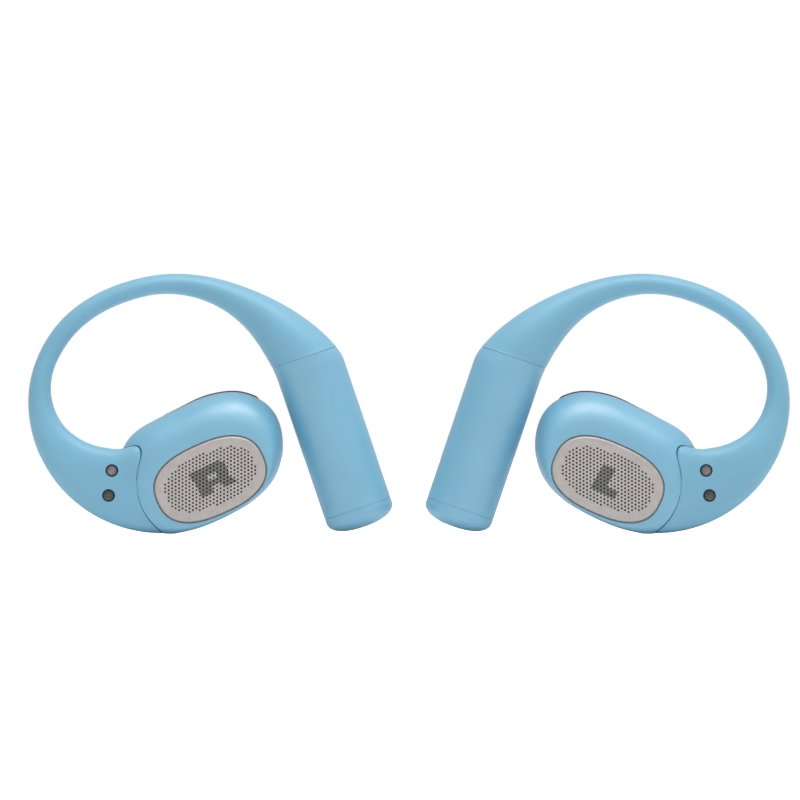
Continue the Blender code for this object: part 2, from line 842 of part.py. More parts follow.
def build_hook(prefix, side, parent):
    """The earpiece's base: hook base, front arm, contacts and swivel plate."""
    upper, lower = CONTACTS["contact_upper"], CONTACTS["contact_lower"]
    arm = node(f"{prefix}_hook_front_arm", hook_front_arm(), parent, side, "silicone")
    wire = wire_tube(FLEX_DEG - 1.0, WIRE_END_DEG + 2.0, WIRE_BORE_RADIUS)
    cut(arm, f"{prefix}_cut_wire_front", wire, parent, side)
    pocket = plate(capsule(lower, upper, POCKET_RADIUS), CONTACT_BACK_Y - GAP, 2.0)
    cut(arm, f"{prefix}_cut_board_pocket", pocket, parent, side)
    cover = plate(capsule(lower, upper, COVER_RADIUS + GAP), WINDOW_Y, 2.0)
    cut(arm, f"{prefix}_cut_cover_recess", cover, parent, side)
    neck_w = PIVOT_W + NECK_W
    reach = PLATE_NECK_HALF + GAP
    slot = plate(
        (
            (upper[0], neck_w - reach),
            (PIVOT_U, neck_w - reach),
            (PIVOT_U, neck_w + reach),
            (upper[0], neck_w + reach),
        ),
        WINDOW_Y,
        2.0,
    )
    cut(arm, f"{prefix}_cut_neck_slot", slot, parent, side)
    for name, centre in CONTACTS.items():
        bore = turned(((CONTACT_BORE_RADIUS, -8.0), (CONTACT_BORE_RADIUS, -3.0)), depth_axis(centre))
        cut(arm, f"{prefix}_cut_{name}", bore, parent, side)
        node(f"{prefix}_{name}", turned(contact_pin(), depth_axis(centre)), parent, side, "contact")
    board = plate(capsule(lower, upper, BOARD_RADIUS), -3.1, -2.5)
    node(f"{prefix}_contact_board", board, parent, side, "board")
    carrier_mesh, ring_bore = swivel_carrier()
    carrier = node(f"{prefix}_swivel_carrier", carrier_mesh, parent, side, "steel")
    hole = turned(((ring_bore, -2.0), (ring_bore, 2.0)), depth_axis(PIVOT))
    cut(carrier, f"{prefix}_cut_hub_bore", hole, parent, side)
    wire = wire_tube(FLEX_DEG + FLEX_GAP_DEG, WIRE_END_DEG, WIRE_RADIUS, 6)
    node(f"{prefix}_core_wire_front", wire, parent, side, "steel")


# ---------------------------------------------------------------- battery barrel

def battery_barrel():
    """Straight tube with slightly eased edges."""
    r, bore = BARREL_RADIUS, BARREL_BORE
    low = CAP_SEAM - 0.5 * SEAM_GAP
    profile = (
        (r - 0.18, BARREL_TOP),
        (r, BARREL_TOP + 1.2),
        (r, low - 0.1),
        (r - 0.1, low),
        (bore, low),
        (bore, BARREL_TOP),
    )
    return turned(profile, barrel_axis, 24, cyclic=True)


def battery_end_cap():
    """Shallow domed cap with a collar that plugs into the barrel."""
    r = BARREL_RADIUS
    top = CAP_SEAM + 0.5 * SEAM_GAP
    collar = BARREL_BORE - GAP
    profile = (
        (1.2, BARREL_END),
        (3.3, BARREL_END - 0.4),
        (4.6, BARREL_END - 1.25),
        (r - 0.05, BARREL_END - 2.3),
        (r - 0.05, top),
        (collar, top),
        (collar, top - 1.6),
        (collar - 0.8, top - 1.6),
        (collar - 0.8, BARREL_END - 1.9),
        (2.0, BARREL_END - 1.1),
    )
    return turned(profile, barrel_axis, 24)


def build_barrel(prefix, side, parent):
    """Everything that springs outwards when the hook flexes."""
    arm = node(f"{prefix}_hook_rear_arm", hook_rear_arm(), parent, side, "silicone")
    bore = wire_tube(20.5, FLEX_DEG + 1.5, WIRE_BORE_RADIUS)
    cut(arm, f"{prefix}_cut_wire_rear", bore, parent, side)
    socket = turned(((SOCKET_RADIUS, SOCKET_TOP), (SOCKET_RADIUS, BARREL_TOP + 1.0)), barrel_axis)
    cut(arm, f"{prefix}_cut_socket", socket, parent, side)
    wire = wire_tube(WIRE_START_DEG, FLEX_DEG - FLEX_GAP_DEG, WIRE_RADIUS, 6)
    node(f"{prefix}_core_wire_rear", wire, parent, side, "steel")
    seal_top = SOCKET_TOP + GAP
    seal_bottom = seal_top + 2.3
    seal = ((3.3, seal_top), (3.9, seal_top), (3.9, seal_bottom), (3.3, seal_bottom))
    node(f"{prefix}_barrel_seal", turned(seal, barrel_axis, cyclic=True), parent, side, "black")
    node(f"{prefix}_battery_barrel", battery_barrel(), parent, side, "shell")
    node(f"{prefix}_battery_end_cap", battery_end_cap(), parent, side, "shell")
    board = ((3.9, -4.9), (3.9, -4.3))
    node(f"{prefix}_protection_board", turned(board, barrel_axis), parent, side, "board")
    cell = ((1.2, -3.95), (1.2, -3.6), (3.7, -3.6), (3.95, -3.3), (3.95, 14.7), (3.7, 15.0))
    node(f"{prefix}_battery_cell", turned(cell, barrel_axis), parent, side, "cell")


def build_earpiece(prefix, side):
    """One earpiece with its three joined bodies."""
    base = pivot_empty(f"{prefix}_base", (0.0, 0.0, 0.0), side)
    swivel = pivot_empty(f"{prefix}_swivel_axis", (PIVOT_U, 0.0, PIVOT_W), side)
    middle = 0.5 * (smooth(HOOK_INNER, FLEX_DEG) + smooth(HOOK_OUTER, FLEX_DEG))
    flex = pivot_empty(f"{prefix}_flex_axis", loop_point(FLEX_DEG, middle), side)
    build_hook(prefix, side, base)
    build_pod(prefix, side, swivel)
    build_barrel(prefix, side, flex)


def main():
    clear_scene()
    for prefix, side in SIDES:
        build_earpiece(prefix, side)
    bpy.context.view_layer.update()


main()
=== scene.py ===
"""Looks of a pair of open-ear, ear-hook earphones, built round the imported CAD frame.

Shapes are drawn in the CAD's plan coordinates, in millimetres, for the right earpiece: u runs from the
centre of the ear loop towards the battery barrel, w runs up, and y is world Y. The left earpiece is the
mirror image.
"""
import json
import math

import bmesh
import bpy
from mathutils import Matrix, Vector

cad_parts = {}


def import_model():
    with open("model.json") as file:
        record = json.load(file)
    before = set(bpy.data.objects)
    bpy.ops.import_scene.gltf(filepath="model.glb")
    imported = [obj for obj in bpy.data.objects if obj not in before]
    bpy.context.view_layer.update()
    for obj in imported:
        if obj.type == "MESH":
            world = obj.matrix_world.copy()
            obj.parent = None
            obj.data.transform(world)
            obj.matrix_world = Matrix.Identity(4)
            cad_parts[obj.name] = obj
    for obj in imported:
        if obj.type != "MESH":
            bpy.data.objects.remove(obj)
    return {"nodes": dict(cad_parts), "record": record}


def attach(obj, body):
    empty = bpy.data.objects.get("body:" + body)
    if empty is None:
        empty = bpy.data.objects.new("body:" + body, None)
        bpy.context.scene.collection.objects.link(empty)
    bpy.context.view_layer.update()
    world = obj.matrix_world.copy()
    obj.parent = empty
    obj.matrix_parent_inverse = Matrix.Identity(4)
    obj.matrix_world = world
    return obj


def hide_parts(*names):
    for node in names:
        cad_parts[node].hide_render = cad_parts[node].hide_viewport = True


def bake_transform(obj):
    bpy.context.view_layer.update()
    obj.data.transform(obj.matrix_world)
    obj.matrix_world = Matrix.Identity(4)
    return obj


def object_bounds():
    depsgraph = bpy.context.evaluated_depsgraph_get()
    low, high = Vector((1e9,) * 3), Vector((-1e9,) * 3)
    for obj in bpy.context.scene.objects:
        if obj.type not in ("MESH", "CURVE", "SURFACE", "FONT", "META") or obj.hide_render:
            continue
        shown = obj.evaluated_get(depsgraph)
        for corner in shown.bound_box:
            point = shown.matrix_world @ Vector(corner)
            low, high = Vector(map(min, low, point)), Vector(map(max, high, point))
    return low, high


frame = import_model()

CAD_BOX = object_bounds()

MM = 0.001
SIDES = (("right", 1.0), ("left", -1.0))

# ---------------- dimensions shared with the CAD

LOOP_OFFSET = 36.6
LOOP_HEIGHT = 20.0
PIVOT_U = 5.1
PIVOT_W = -12.25

# Pod outline about the swivel axis: angle in degrees, radius. It closes on itself.
POD_OUTLINE = (
    (-124.5, 9.4), (-100, 7.42), (-70, 6.5), (-40, 7.08), (-16, 8.98), (5, 11.62), (28, 14.2), (45, 15.45),
    (64, 14.85), (84, 12.95), (104, 11.45), (125, 11.35), (150, 12.4), (180, 12.2), (210, 11.3),
)
POD_SPREAD_DEG = 8.0
POD_CENTRE = (2.3, 2.4)
POD_FACE_Y = -6.7
POD_SPLIT_Y = 0.65
POD_BACK_Y = 7.0
POD_WALL = 0.7
CROWN_EXPONENT = 2.3
FLOOR_EXPONENT_GAIN = 1.7
FLOOR_DEG = -95.0

GRILLE_CENTRE = (1.75, 0.4)
GRILLE_TILT_DEG = 24.2
GRILLE_HALF = (8.5, 5.35)
GRILLE_EXPONENT = 2.5
GRILLE_RIM = 1.3
GRILLE_FRONT_Y = -7.0
BEZEL_BACK_Y = -5.4

# Hook edges about the loop centre, and its depth on each side: angle in degrees, millimetres.
HOOK_OUTER = (
    (5, 29.2), (17.2, 26.92), (22, 25.98), (30, 24.35), (45, 21.87), (60, 20.28), (80, 19.17),
    (110, 18.66), (150, 19.87), (180, 20.5), (250, 20.3),
)
HOOK_INNER = (
    (5, 17.35), (17, 16.76), (23, 16.47), (30, 16.28), (60, 16.07), (90, 15.9), (114, 15.83),
    (150, 16.9), (172, 17.28), (190, 16.15), (203, 14.3), (220, 11.2), (237, 8.1),
)
HOOK_FRONT = (
    (17, -5.05), (30, -4.4), (45, -3.4), (60, -2.7), (80, -2.2),
    (110, -2.0), (150, -2.2), (180, -3.0), (200, -4.2), (220, -5.5),
)
HOOK_REAR = (
    (17, 5.05), (30, 4.4), (45, 3.4), (60, 2.7), (80, 2.2),
    (110, 2.0), (150, 1.8), (180, 1.2), (200, 0.7), (220, 0.5),
)
# How far round the loop the edges and the depths are averaged.
HOOK_EDGE_SPREAD_DEG = 8.0
HOOK_DEPTH_SPREAD_DEG = 10.0

# The leaf is the hook base: it runs from its start on the loop to the seam round the pod.
LEAF_START_DEG = 220.0
LEAF_FRONT_Y = -6.3
LEAF_REAR_Y = 0.5
LEAF_BOTTOM = (-0.25, -19.97)
SEAM_BOTTOM_DEG = 235.5

CONTACTS = {"upper": (-7.9, -10.55), "lower": (-8.4, -14.3)}
CONTACT_RADIUS = 0.92
CONTACT_FACE_Y = -5.55
CONTACT_BACK_Y = -3.4

AXIS_U = 23.4
LEAN_DEG = 18.7
BARREL_RADIUS = 5.2
BARREL_BORE = 4.4
HORN_SEAM = -6.84
CAP_SEAM = 17.2
BARREL_END = 20.1

# ---------------- dimensions of the visible skins

# Seams: the width of the lines, the rounding of their edges, and the tongue that closes each from inside.
SEAM_LINE = 0.09
EDGE_ROUND = 0.05
CAP_LINE = 0.05
CAP_ROUND = 0.025
TONGUE_INSET = 0.07
TONGUE_GAP = 0.01
TONGUE_DEPTH = 0.9

# The dark line round the grille, and the rim: its round, the slope down to the mesh and the shelf under it.
GRILLE_LINE = 0.22
GROOVE_DEPTH = 0.55
GROOVE_FLOOR = 0.19
RIM_ROUND = 0.34
RIM_SLOPE = 0.2
RIM_SHELF = 0.9
RIM_LIP_GAP = 0.004
RIM_SHELF_GAP = 0.002

# The hook base's top edge, from its start on the loop, round its corner and into the seam.
LEAF_TOP_EDGE = (
    (0.0, (-8.58, -7.2)), (0.2, (-7.4, -7.36)), (0.4, (-6.2, -7.24)), (0.6, (-5.05, -6.93)),
    (0.76, (-4.3, -6.82)), (0.88, (-3.78, -7.0)), (0.95, (-3.53, -7.4)), (1.0, (-3.47, -7.9)),
)
TOP_EDGE_SPREAD = 0.04
# Squareness of the hook's sections in front towards the loop, in front away from it, and behind:
# on the slim arm, where the hook base starts, and at the seam.
ARM_EXPONENTS = (2.0, 2.0, 2.0)
LEAF_EXPONENTS = (3.0, 2.5, 8.0)
SEAM_EXPONENTS = (5.0, 3.2, 14.0)
LEAF_SHAPE_FROM_DEG = 175.0
# The seam runs round the swivel axis, and lifts off that circle just below its top corner.
LEAF_WALL_RADIUS = 9.32
LEAF_WALL_LIFT = 0.29
LEAF_WALL_LIFT_SHARE = 0.1
LEAF_EDGE_ROUND = 0.12
LEAF_EDGE_STEP = 0.02
LEAF_REAR_GAP = 0.06
LEAF_LENGTH = 9.0
POD_SEAM_CLEARANCE = 0.055
# Where the inside of the pod's wall is drawn in behind the seam, and how it returns.
SEAM_MIDDLE_DEG = 190.0
SEAM_HALF_DEG = 45.0
SEAM_RETURN_FROM_DEG = 4.0
SEAM_RETURN_SPAN_DEG = 14.0

# The horn: its outer edge leads its inner one towards the slanted seam at the barrel.
ARM_END_DEG = 17.6
OUTER_LEAD_DEG = 0.82
OUTER_LEAD_FROM_DEG = 40.0
OUTER_LEAD_SPAN_DEG = 23.0
# The barrel's shoulder: drawn in on the outer side, flared on the loop side.
SHOULDER_DRAW = 0.48
SHOULDER_DEPTH_SHARE = 0.25
SHOULDER_FLARE = 0.16
SHOULDER_REACH = 2.3
CAP_WALL = 0.5
CAP_EXPONENT = 2.3
CAP_PLUG = 1.6
CAP_PLUG_GAP = 0.05

WELL_RADIUS = 0.95
WELL_FLARE = 0.26
WELL_FLARE_DEPTH = 0.3
WELL_LIP = 0.1
WELL_MOUTH_Y = -8.0
# Contact face from its flat middle out to its rim: distance in from the rim, depth behind the face.
CONTACT_FACE = ((0.44, 0.0), (0.41, 0.02), (0.38, 0.0), (0.26, 0.02), (0.12, 0.08), (0.03, 0.15), (0.0, 0.22))
CONTACT_MIDDLE = 0.30

# A band across the hook skin: where it starts on the loop, its length, and its heading in the
# plan, which is steeper than the arm so that the hook base stays out of it.
FLEX_START_DEG = 164.0
FLEX_LENGTH = 16.5
FLEX_HEADING_DEG = 56.0

MESH_FRONT_Y = -6.975
MESH_THICKNESS = 0.14
MESH_INSET = 0.8
HOLE_RADIUS = 0.155
HOLE_COLUMN_PITCH = 0.518
HOLE_ROW_PITCH = 0.545
HOLE_FIELD_INSET = 1.4

VENT_DEG = (54.0, 118.0)
VENT_Y = (0.42, 1.75)
VENT_ROOT = 0.6
VENT_CHAMFER = (0.03, 0.08)
# The strip stands proud, fades in and out at its ends, and sinks over its second half.
VENT_PROUD = 0.19
VENT_FADE_IN = 0.03
VENT_FADE_OUT = 0.04
VENT_SINK = 0.75
VENT_SINK_FROM = 0.45
VENT_SINK_SPAN = 0.5

LETTER_TILT_DEG = 25.6
LETTER_CENTRES = {"right": (2.3, 0.85), "left": (2.2, 0.0)}
# Strokes of each channel letter: left, right, bottom, top, lean (sideways shift per unit of height).
LETTER_STROKES = {
    "right": (
        (-3.0, -0.97, -2.2, 1.9, 0.0),
        (-3.25, 1.75, 0.5, 1.9, 0.0),
        (0.47, 2.3, -0.6, 1.45, 0.0),
        (-2.9, 1.9, -1.25, -0.33, 0.0),
        (-0.2, 1.75, -2.2, -0.33, -0.62),
    ),
    "left": (
        (-1.35, 0.7, -1.75, 2.33, 0.05),
        (-1.45, 2.42, -1.75, -0.52, 0.0),
    ),
}

# Guide shapes reach past everything in front.
GUIDE_FRONT_Y = -12.0
SHARP_EDGE_DEG = 38.0


# ---------------- outline helpers

def unit(degrees):
    """Unit vector in the plan at an angle."""
    angle = math.radians(degrees)
    return math.cos(angle), math.sin(angle)


def quarter_turn(steps):
    """Cosine and sine at even steps over a right angle."""
    return [unit(90.0 * k / steps) for k in range(steps + 1)]


def ease(t):
    """Smooth step from 0 to 1."""
    t = min(max(t, 0.0), 1.0)
    return t * t * (3.0 - 2.0 * t)


def curve(knots, x, period=None):
    """Cubic curve through knots whose slopes are the chords of their neighbours."""
    if period:
        first = knots[0][0]
        x = first + (x - first) % period
        before = tuple((a - period, v) for a, v in knots[-2:])
        after = tuple((a + period, v) for a, v in knots[:3])
        knots = before + tuple(knots) + after
    last = len(knots) - 2
    i = 0
    while i < last and x > knots[i + 1][0]:
        i += 1

    def slope(k):
        low = max(k - 1, 0)
        high = min(k + 1, len(knots) - 1)
        return (knots[high][1] - knots[low][1]) / (knots[high][0] - knots[low][0])

    x0, v0 = knots[i]
    x1, v1 = knots[i + 1]
    span = x1 - x0
    t = min(max((x - x0) / span, 0.0), 1.0)
    m0 = slope(i) * span
    m1 = slope(i + 1) * span
    return (
        (2 * t**3 - 3 * t**2 + 1) * v0
        + (t**3 - 2 * t**2 + t) * m0
        + (3 * t**2 - 2 * t**3) * v1
        + (t**3 - t**2) * m1
    )


def soft(knots, x, spread, period=None):
    """The curve averaged over a short stretch, so that its bends flow."""
    weights = (1, 6, 15, 20, 15, 6, 1)
    total = 0.0
    for i, weight in enumerate(weights):
        total += weight * curve(knots, x + spread * (i - 3) / 3.0, period)
    return total / sum(weights)


def mixed(a, b, t):
    """Number by number mix of two tuples."""
    return tuple(p + (q - p) * t for p, q in zip(a, b))


def super_pair(degrees, exponent):
    """Point on a unit superellipse at a parametric angle."""
    c, s = unit(degrees)
    power = 2.0 / exponent
    return math.copysign(abs(c) ** power, c), math.copysign(abs(s) ** power, s)


def loop_point(degrees, radius):
    """Plan point at an angle and radius about the loop centre."""
    c, s = unit(degrees)
    return radius * c, radius * s


def pod_point(degrees, radius):
    """Plan point at an angle and radius about the swivel axis."""
    c, s = unit(degrees)
    return PIVOT_U + radius * c, PIVOT_W + radius * s


def pod_place(degrees, radius, y):
    """The same, with a depth."""
    u, w = pod_point(degrees, radius)
    return u, y, w


def angle_about_pivot(point):
    """Angle of a plan point about the swivel axis."""
    return math.degrees(math.atan2(point[1] - PIVOT_W, point[0] - PIVOT_U)) % 360.0


def grown_path(path, distance):
    """The path shifted to its left by a distance."""
    shifted = []
    for i, (u, w) in enumerate(path):
        before = path[max(i - 1, 0)]
        after = path[min(i + 1, len(path) - 1)]
        du, dw = after[0] - before[0], after[1] - before[1]
        length = math.hypot(du, dw)
        shifted.append((u - distance * dw / length, w + distance * du / length))
    return shifted


def barrel_point(across, y, along):
    """Plan point by the barrel's own axis: across is outwards, along runs down the barrel."""
    c, s = unit(LEAN_DEG)
    return AXIS_U + across * c + along * s, y, across * s - along * c


def pod_radius(degrees):
    """Radius of the pod outline about the swivel axis."""
    return soft(POD_OUTLINE, degrees, POD_SPREAD_DEG, 360.0)


def oval_measure(u, w, grow):
    """Below 1 inside the grille's oval, grown by an amount. u and w count from the swivel axis."""
    ct, st = unit(GRILLE_TILT_DEG)
    du = u - GRILLE_CENTRE[0]
    dw = w - GRILLE_CENTRE[1]
    a = abs(du * ct + dw * st) / (GRILLE_HALF[0] + grow)
    b = abs(dw * ct - du * st) / (GRILLE_HALF[1] + grow)
    return a**GRILLE_EXPONENT + b**GRILLE_EXPONENT


def grille_radius(degrees, grow):
    """Distance from the swivel axis to the grille's outline, grown by an amount, along an angle."""
    du, dw = unit(degrees)
    low, high = 0.0, 20.0
    halvings = 36
    for _ in range(halvings):
        r = 0.5 * (low + high)
        if oval_measure(r * du, r * dw, grow) < 1.0:
            low = r
        else:
            high = r
    return low


# ---------------- mesh helpers

def world(point, side):
    """Plan point in millimetres to world metres."""
    u, y, w = point
    return Vector((side * (u - LOOP_OFFSET) * MM, y * MM, (w + LOOP_HEIGHT) * MM))


def loft(rings, cyclic=False, ladder=False):
    """Skin point rings into one closed mesh: a ring of rings, or a tube with its ends capped."""
    bm = bmesh.new()
    rows = [[bm.verts.new(p) for p in ring] for ring in rings]
    count = len(rows[0])
    pairs = list(zip(rows, rows[1:]))
    if cyclic:
        pairs.append((rows[-1], rows[0]))
    for a, b in pairs:
        for j in range(count):
            k = (j + 1) % count
            bm.faces.new((a[j], a[k], b[k], b[j]))
    if not cyclic:
        bm.faces.new(rows[-1])
        if ladder:
            close_with_ladder(bm, rows[0])
        else:
            bm.faces.new(rows[0])
    return bm


def close_with_ladder(bm, ring):
    """Close a ring whose points j and -j face each other with straight rungs."""
    count = len(ring)
    half = count // 2
    bm.faces.new((ring[0], ring[1], ring[-1]))
    for j in range(1, half - 1):
        bm.faces.new((ring[j], ring[j + 1], ring[count - j - 1], ring[count - j]))
    bm.faces.new((ring[half - 1], ring[half], ring[half + 1]))


def turned(profile, place, segments):
    """Turn a profile of (radius, along) about an axis. place maps (x, y, along) to plan coordinates."""
    rings = []
    for radius, along in profile:
        ring = []
        for j in range(segments):
            c, s = unit(360.0 * j / segments)
            ring.append(place(radius * c, radius * s, along))
        rings.append(ring)
    return loft(rings)


def depth_axis(centre):
    """Placement for a piece turned about a line along Y, through a plan point."""
    return lambda a, b, along: (centre[0] + a, along, centre[1] + b)


def flat_plate(outline, y0, y1):
    """Flat plate between two depths."""
    return loft([[(u, y, w) for u, w in outline] for y in (y0, y1)])


def to_mesh(name, bm, side):
    """Plan geometry to a mesh in world metres, facing out."""
    for vert in bm.verts:
        vert.co = world(vert.co, side)
    bmesh.ops.recalc_face_normals(bm, faces=bm.faces)
    if bm.calc_volume(signed=True) < 0.0:
        bmesh.ops.reverse_faces(bm, faces=bm.faces)
    mesh = bpy.data.meshes.new(name)
    bm.to_mesh(mesh)
    bm.free()
    return mesh


def smooth_shading(mesh):
    """Round shading, with crisp edges where faces meet at an angle."""
    mesh.shade_smooth()
    mesh.set_sharp_from_angle(angle=math.radians(SHARP_EDGE_DEG))


def add_object(name, data):
    """Put mesh, light or camera data in the scene."""
    obj = bpy.data.objects.new(name, data)
    bpy.context.scene.collection.objects.link(obj)
    return obj


def piece(name, bm, side, mat):
    """A visible piece, standing free at rest."""
    mesh = to_mesh(name, bm, side)
    smooth_shading(mesh)
    mesh.materials.append(mat)
    return add_object(name, mesh)


def carve(obj, cutters, side):
    """Subtract guide shapes from a piece and keep the result as its mesh."""
    guides = []
    for i, bm in enumerate(cutters):
        name = f"{obj.name}_guide_{i}"
        guide = add_object(name, to_mesh(name, bm, side))
        boolean = obj.modifiers.new(name, "BOOLEAN")
        boolean.operation = "DIFFERENCE"
        boolean.solver = "EXACT"
        boolean.object = guide
        guides.append(guide)
    bpy.context.view_layer.update()
    graph = bpy.context.evaluated_depsgraph_get()
    carved = bpy.data.meshes.new_from_object(obj.evaluated_get(graph))
    obj.modifiers.clear()
    obj.data = carved
    smooth_shading(carved)
    for guide in guides:
        bpy.data.objects.remove(guide, do_unlink=True)


# ---------------- material helpers

class Paint:
    """A Principled material with its node tree at hand."""

    def __init__(self, name, colour, roughness, metallic=0.0, specular=0.5):
        self.mat = bpy.data.materials.new(name)
        self.mat.use_nodes = True
        self.tree = self.mat.node_tree
        self.shader = self.tree.nodes["Principled BSDF"]
        self.colour = colour
        self.set("Base Color", (*colour, 1.0))
        self.set("Roughness", roughness)
        self.set("Metallic", metallic)
        self.set("Specular IOR Level", specular)
        self.mat.diffuse_color = (*colour, 1.0)
        self.place = self.node("ShaderNodeTexCoord").outputs["Object"]
        self.tint = None
        self.relief = None

    def set(self, socket, value):
        self.shader.inputs[socket].default_value = value

    def node(self, kind, **values):
        made = self.tree.nodes.new(kind)
        for key, value in values.items():
            setattr(made, key, value)
        return made

    def link(self, a, b):
        self.tree.links.new(a, b)

    def noise(self, size_mm, detail=3.0, rough=0.55):
        """Noise whose blobs are about this size."""
        made = self.node("ShaderNodeTexNoise")
        made.inputs["Scale"].default_value = 1.0 / (size_mm * MM)
        made.inputs["Detail"].default_value = detail
        made.inputs["Roughness"].default_value = rough
        self.link(self.place, made.inputs["Vector"])
        return made.outputs["Fac"]

    def cells(self, size_mm, feature):
        """Distance across cells of about this size."""
        made = self.node("ShaderNodeTexVoronoi", feature=feature)
        made.inputs["Scale"].default_value = 1.0 / (size_mm * MM)
        self.link(self.place, made.inputs["Vector"])
        return made.outputs["Distance"]

    def threads(self, size_mm, direction):
        """Even bands that run across a direction."""
        made = self.node("ShaderNodeTexWave", wave_type="BANDS", bands_direction=direction)
        made.inputs["Scale"].default_value = 1.0 / (size_mm * MM)
        self.link(self.place, made.inputs["Vector"])
        return made.outputs["Fac"]

    def math(self, operation, *values):
        made = self.node("ShaderNodeMath", operation=operation)
        for socket, value in zip(made.inputs, values):
            if isinstance(value, (int, float)):
                socket.default_value = value
            else:
                self.link(value, socket)
        return made.outputs[0]

    def spread(self, factor, low, high, out_low, out_high):
        """Map a factor from one range to another."""
        made = self.node("ShaderNodeMapRange")
        self.link(factor, made.inputs["Value"])
        for name, value in zip(("From Min", "From Max", "To Min", "To Max"), (low, high, out_low, out_high)):
            made.inputs[name].default_value = value
        return made.outputs["Result"]

    def blend(self, factor, colour):
        """Mix another colour over the present one."""
        made = self.node("ShaderNodeMix", data_type="RGBA")
        base = made.inputs[6]
        if self.tint is None:
            base.default_value = (*self.colour, 1.0)
        else:
            self.link(self.tint, base)
        made.inputs[7].default_value = (*colour, 1.0)
        self.link(factor, made.inputs[0])
        self.tint = made.outputs[2]
        self.link(self.tint, self.shader.inputs["Base Color"])

    def mottle(self, size_mm, amount):
        """Uneven colour: lighter and darker drifts of the base colour."""
        drift = self.noise(size_mm)
        light = tuple(min(1.0, c * (1.0 + amount) + 0.01 * amount) for c in self.colour)
        dark = tuple(c * (1.0 - amount) for c in self.colour)
        self.blend(self.spread(drift, 0.45, 0.72, 0.0, 1.0), light)
        self.blend(self.spread(drift, 0.52, 0.28, 0.0, 1.0), dark)

    def edge_wear_and_highlight(self, colour, low, high, amount):
        """Lighter colour along convex edges: rubbed wear, and on the grille also a painted highlight along
        its rounded edges.
        """
        edge = self.node("ShaderNodeNewGeometry").outputs["Pointiness"]
        edge_lightening = self.math("MULTIPLY", self.spread(edge, low, high, 0.0, amount), self.noise(0.8))
        self.blend(edge_lightening, colour)

    def vary_roughness(self, size_mm, low, high):
        self.link(self.spread(self.noise(size_mm), 0.3, 0.7, low, high), self.shader.inputs["Roughness"])

    def bump(self, height, depth_mm, strength=1.0):
        """Relief from a height factor, laid over earlier relief."""
        made = self.node("ShaderNodeBump")
        made.inputs["Strength"].default_value = strength
        made.inputs["Distance"].default_value = depth_mm * MM
        self.link(height, made.inputs["Height"])
        if self.relief is not None:
            self.link(self.relief, made.inputs["Normal"])
        self.relief = made.outputs["Normal"]
        self.link(self.relief, self.shader.inputs["Normal"])

    def grain(self, size_mm, depth_mm, strength=0.6):
        self.bump(self.noise(size_mm, 2.0), depth_mm, strength)


def shell_paint():
    """Satin soft-touch lacquer over moulded plastic."""
    p = Paint("soft_touch_shell", (0.166, 0.436, 0.612), 0.46, specular=1.0)
    p.set("IOR", 1.6)
    p.mottle(6.0, 0.035)
    p.edge_wear_and_highlight((0.42, 0.66, 0.80), 0.53, 0.62, 0.25)
    p.vary_roughness(1.6, 0.42, 0.50)
    p.set("Sheen Weight", 0.08)
    p.set("Sheen Roughness", 0.4)
    p.grain(0.16, 0.004, 0.5)
    p.grain(0.05, 0.002, 0.5)
    return p.mat


def silicone_paint():
    """Matte silicone skin of the hook, with faint dust and handling marks."""
    p = Paint("silicone_skin", (0.184, 0.436, 0.596), 0.52, specular=0.6)
    p.mottle(9.0, 0.04)
    dust = p.spread(p.noise(0.22, 2.0), 0.70, 0.78, 0.0, 0.10)
    p.blend(dust, (0.55, 0.66, 0.72))
    p.vary_roughness(2.4, 0.45, 0.56)
    p.set("Sheen Weight", 0.14)
    p.set("Sheen Roughness", 0.45)
    p.set("Subsurface Weight", 0.04)
    p.set("Subsurface Scale", 0.0008)
    p.grain(0.22, 0.004, 0.6)
    p.grain(0.07, 0.002, 0.5)
    return p.mat


GRILLE_COLOUR = (0.490, 0.457, 0.440)
INK_COLOUR = (0.158, 0.157, 0.148)


def grille_paint(name):
    """Fine warm grey lacquer on metal."""
    p = Paint(name, GRILLE_COLOUR, 0.42, metallic=0.25, specular=0.5)
    p.mottle(1.2, 0.06)
    # Lighter along convex edges, such as the rim's rounded edge: rubbed wear together with a painted
    # highlight.
    p.edge_wear_and_highlight((0.66, 0.63, 0.61), 0.54, 0.66, 0.4)
    p.vary_roughness(0.35, 0.36, 0.5)
    p.grain(0.06, 0.003, 0.7)
    return p


def letter_paint(side_name, side):
    """Grille lacquer with the printed channel letter."""
    p = grille_paint(f"grille_mesh_{side_name}")
    u, w = LETTER_CENTRES[side_name]
    page = p.node("ShaderNodeMapping", vector_type="TEXTURE")
    page.inputs["Location"].default_value = world((PIVOT_U + u, 0.0, PIVOT_W + w), side)
    page.inputs["Rotation"].default_value = (0.0, -side * math.radians(LETTER_TILT_DEG), 0.0)
    page.inputs["Scale"].default_value = (MM, MM, MM)
    p.link(p.place, page.inputs["Vector"])
    parts = p.node("ShaderNodeSeparateXYZ")
    p.link(page.outputs["Vector"], parts.inputs["Vector"])
    x, y = parts.outputs["X"], parts.outputs["Z"]
    ink = None
    for left, right, bottom, top, lean in LETTER_STROKES[side_name]:
        shifted = p.math("SUBTRACT", x, p.math("MULTIPLY", p.math("SUBTRACT", y, top), lean))
        across = p.math("ABSOLUTE", p.math("SUBTRACT", shifted, 0.5 * (left + right)))
        along = p.math("ABSOLUTE", p.math("SUBTRACT", y, 0.5 * (bottom + top)))
        inside = p.math(
            "MULTIPLY",
            p.math("LESS_THAN", across, 0.5 * (right - left)),
            p.math("LESS_THAN", along, 0.5 * (top - bottom)),
        )
        ink = inside if ink is None else p.math("MAXIMUM", ink, inside)
    patchy = p.spread(p.noise(0.12, 2.0), 0.25, 0.75, 0.82, 1.0)
    p.blend(p.math("MULTIPLY", ink, patchy), INK_COLOUR)
    return p.mat


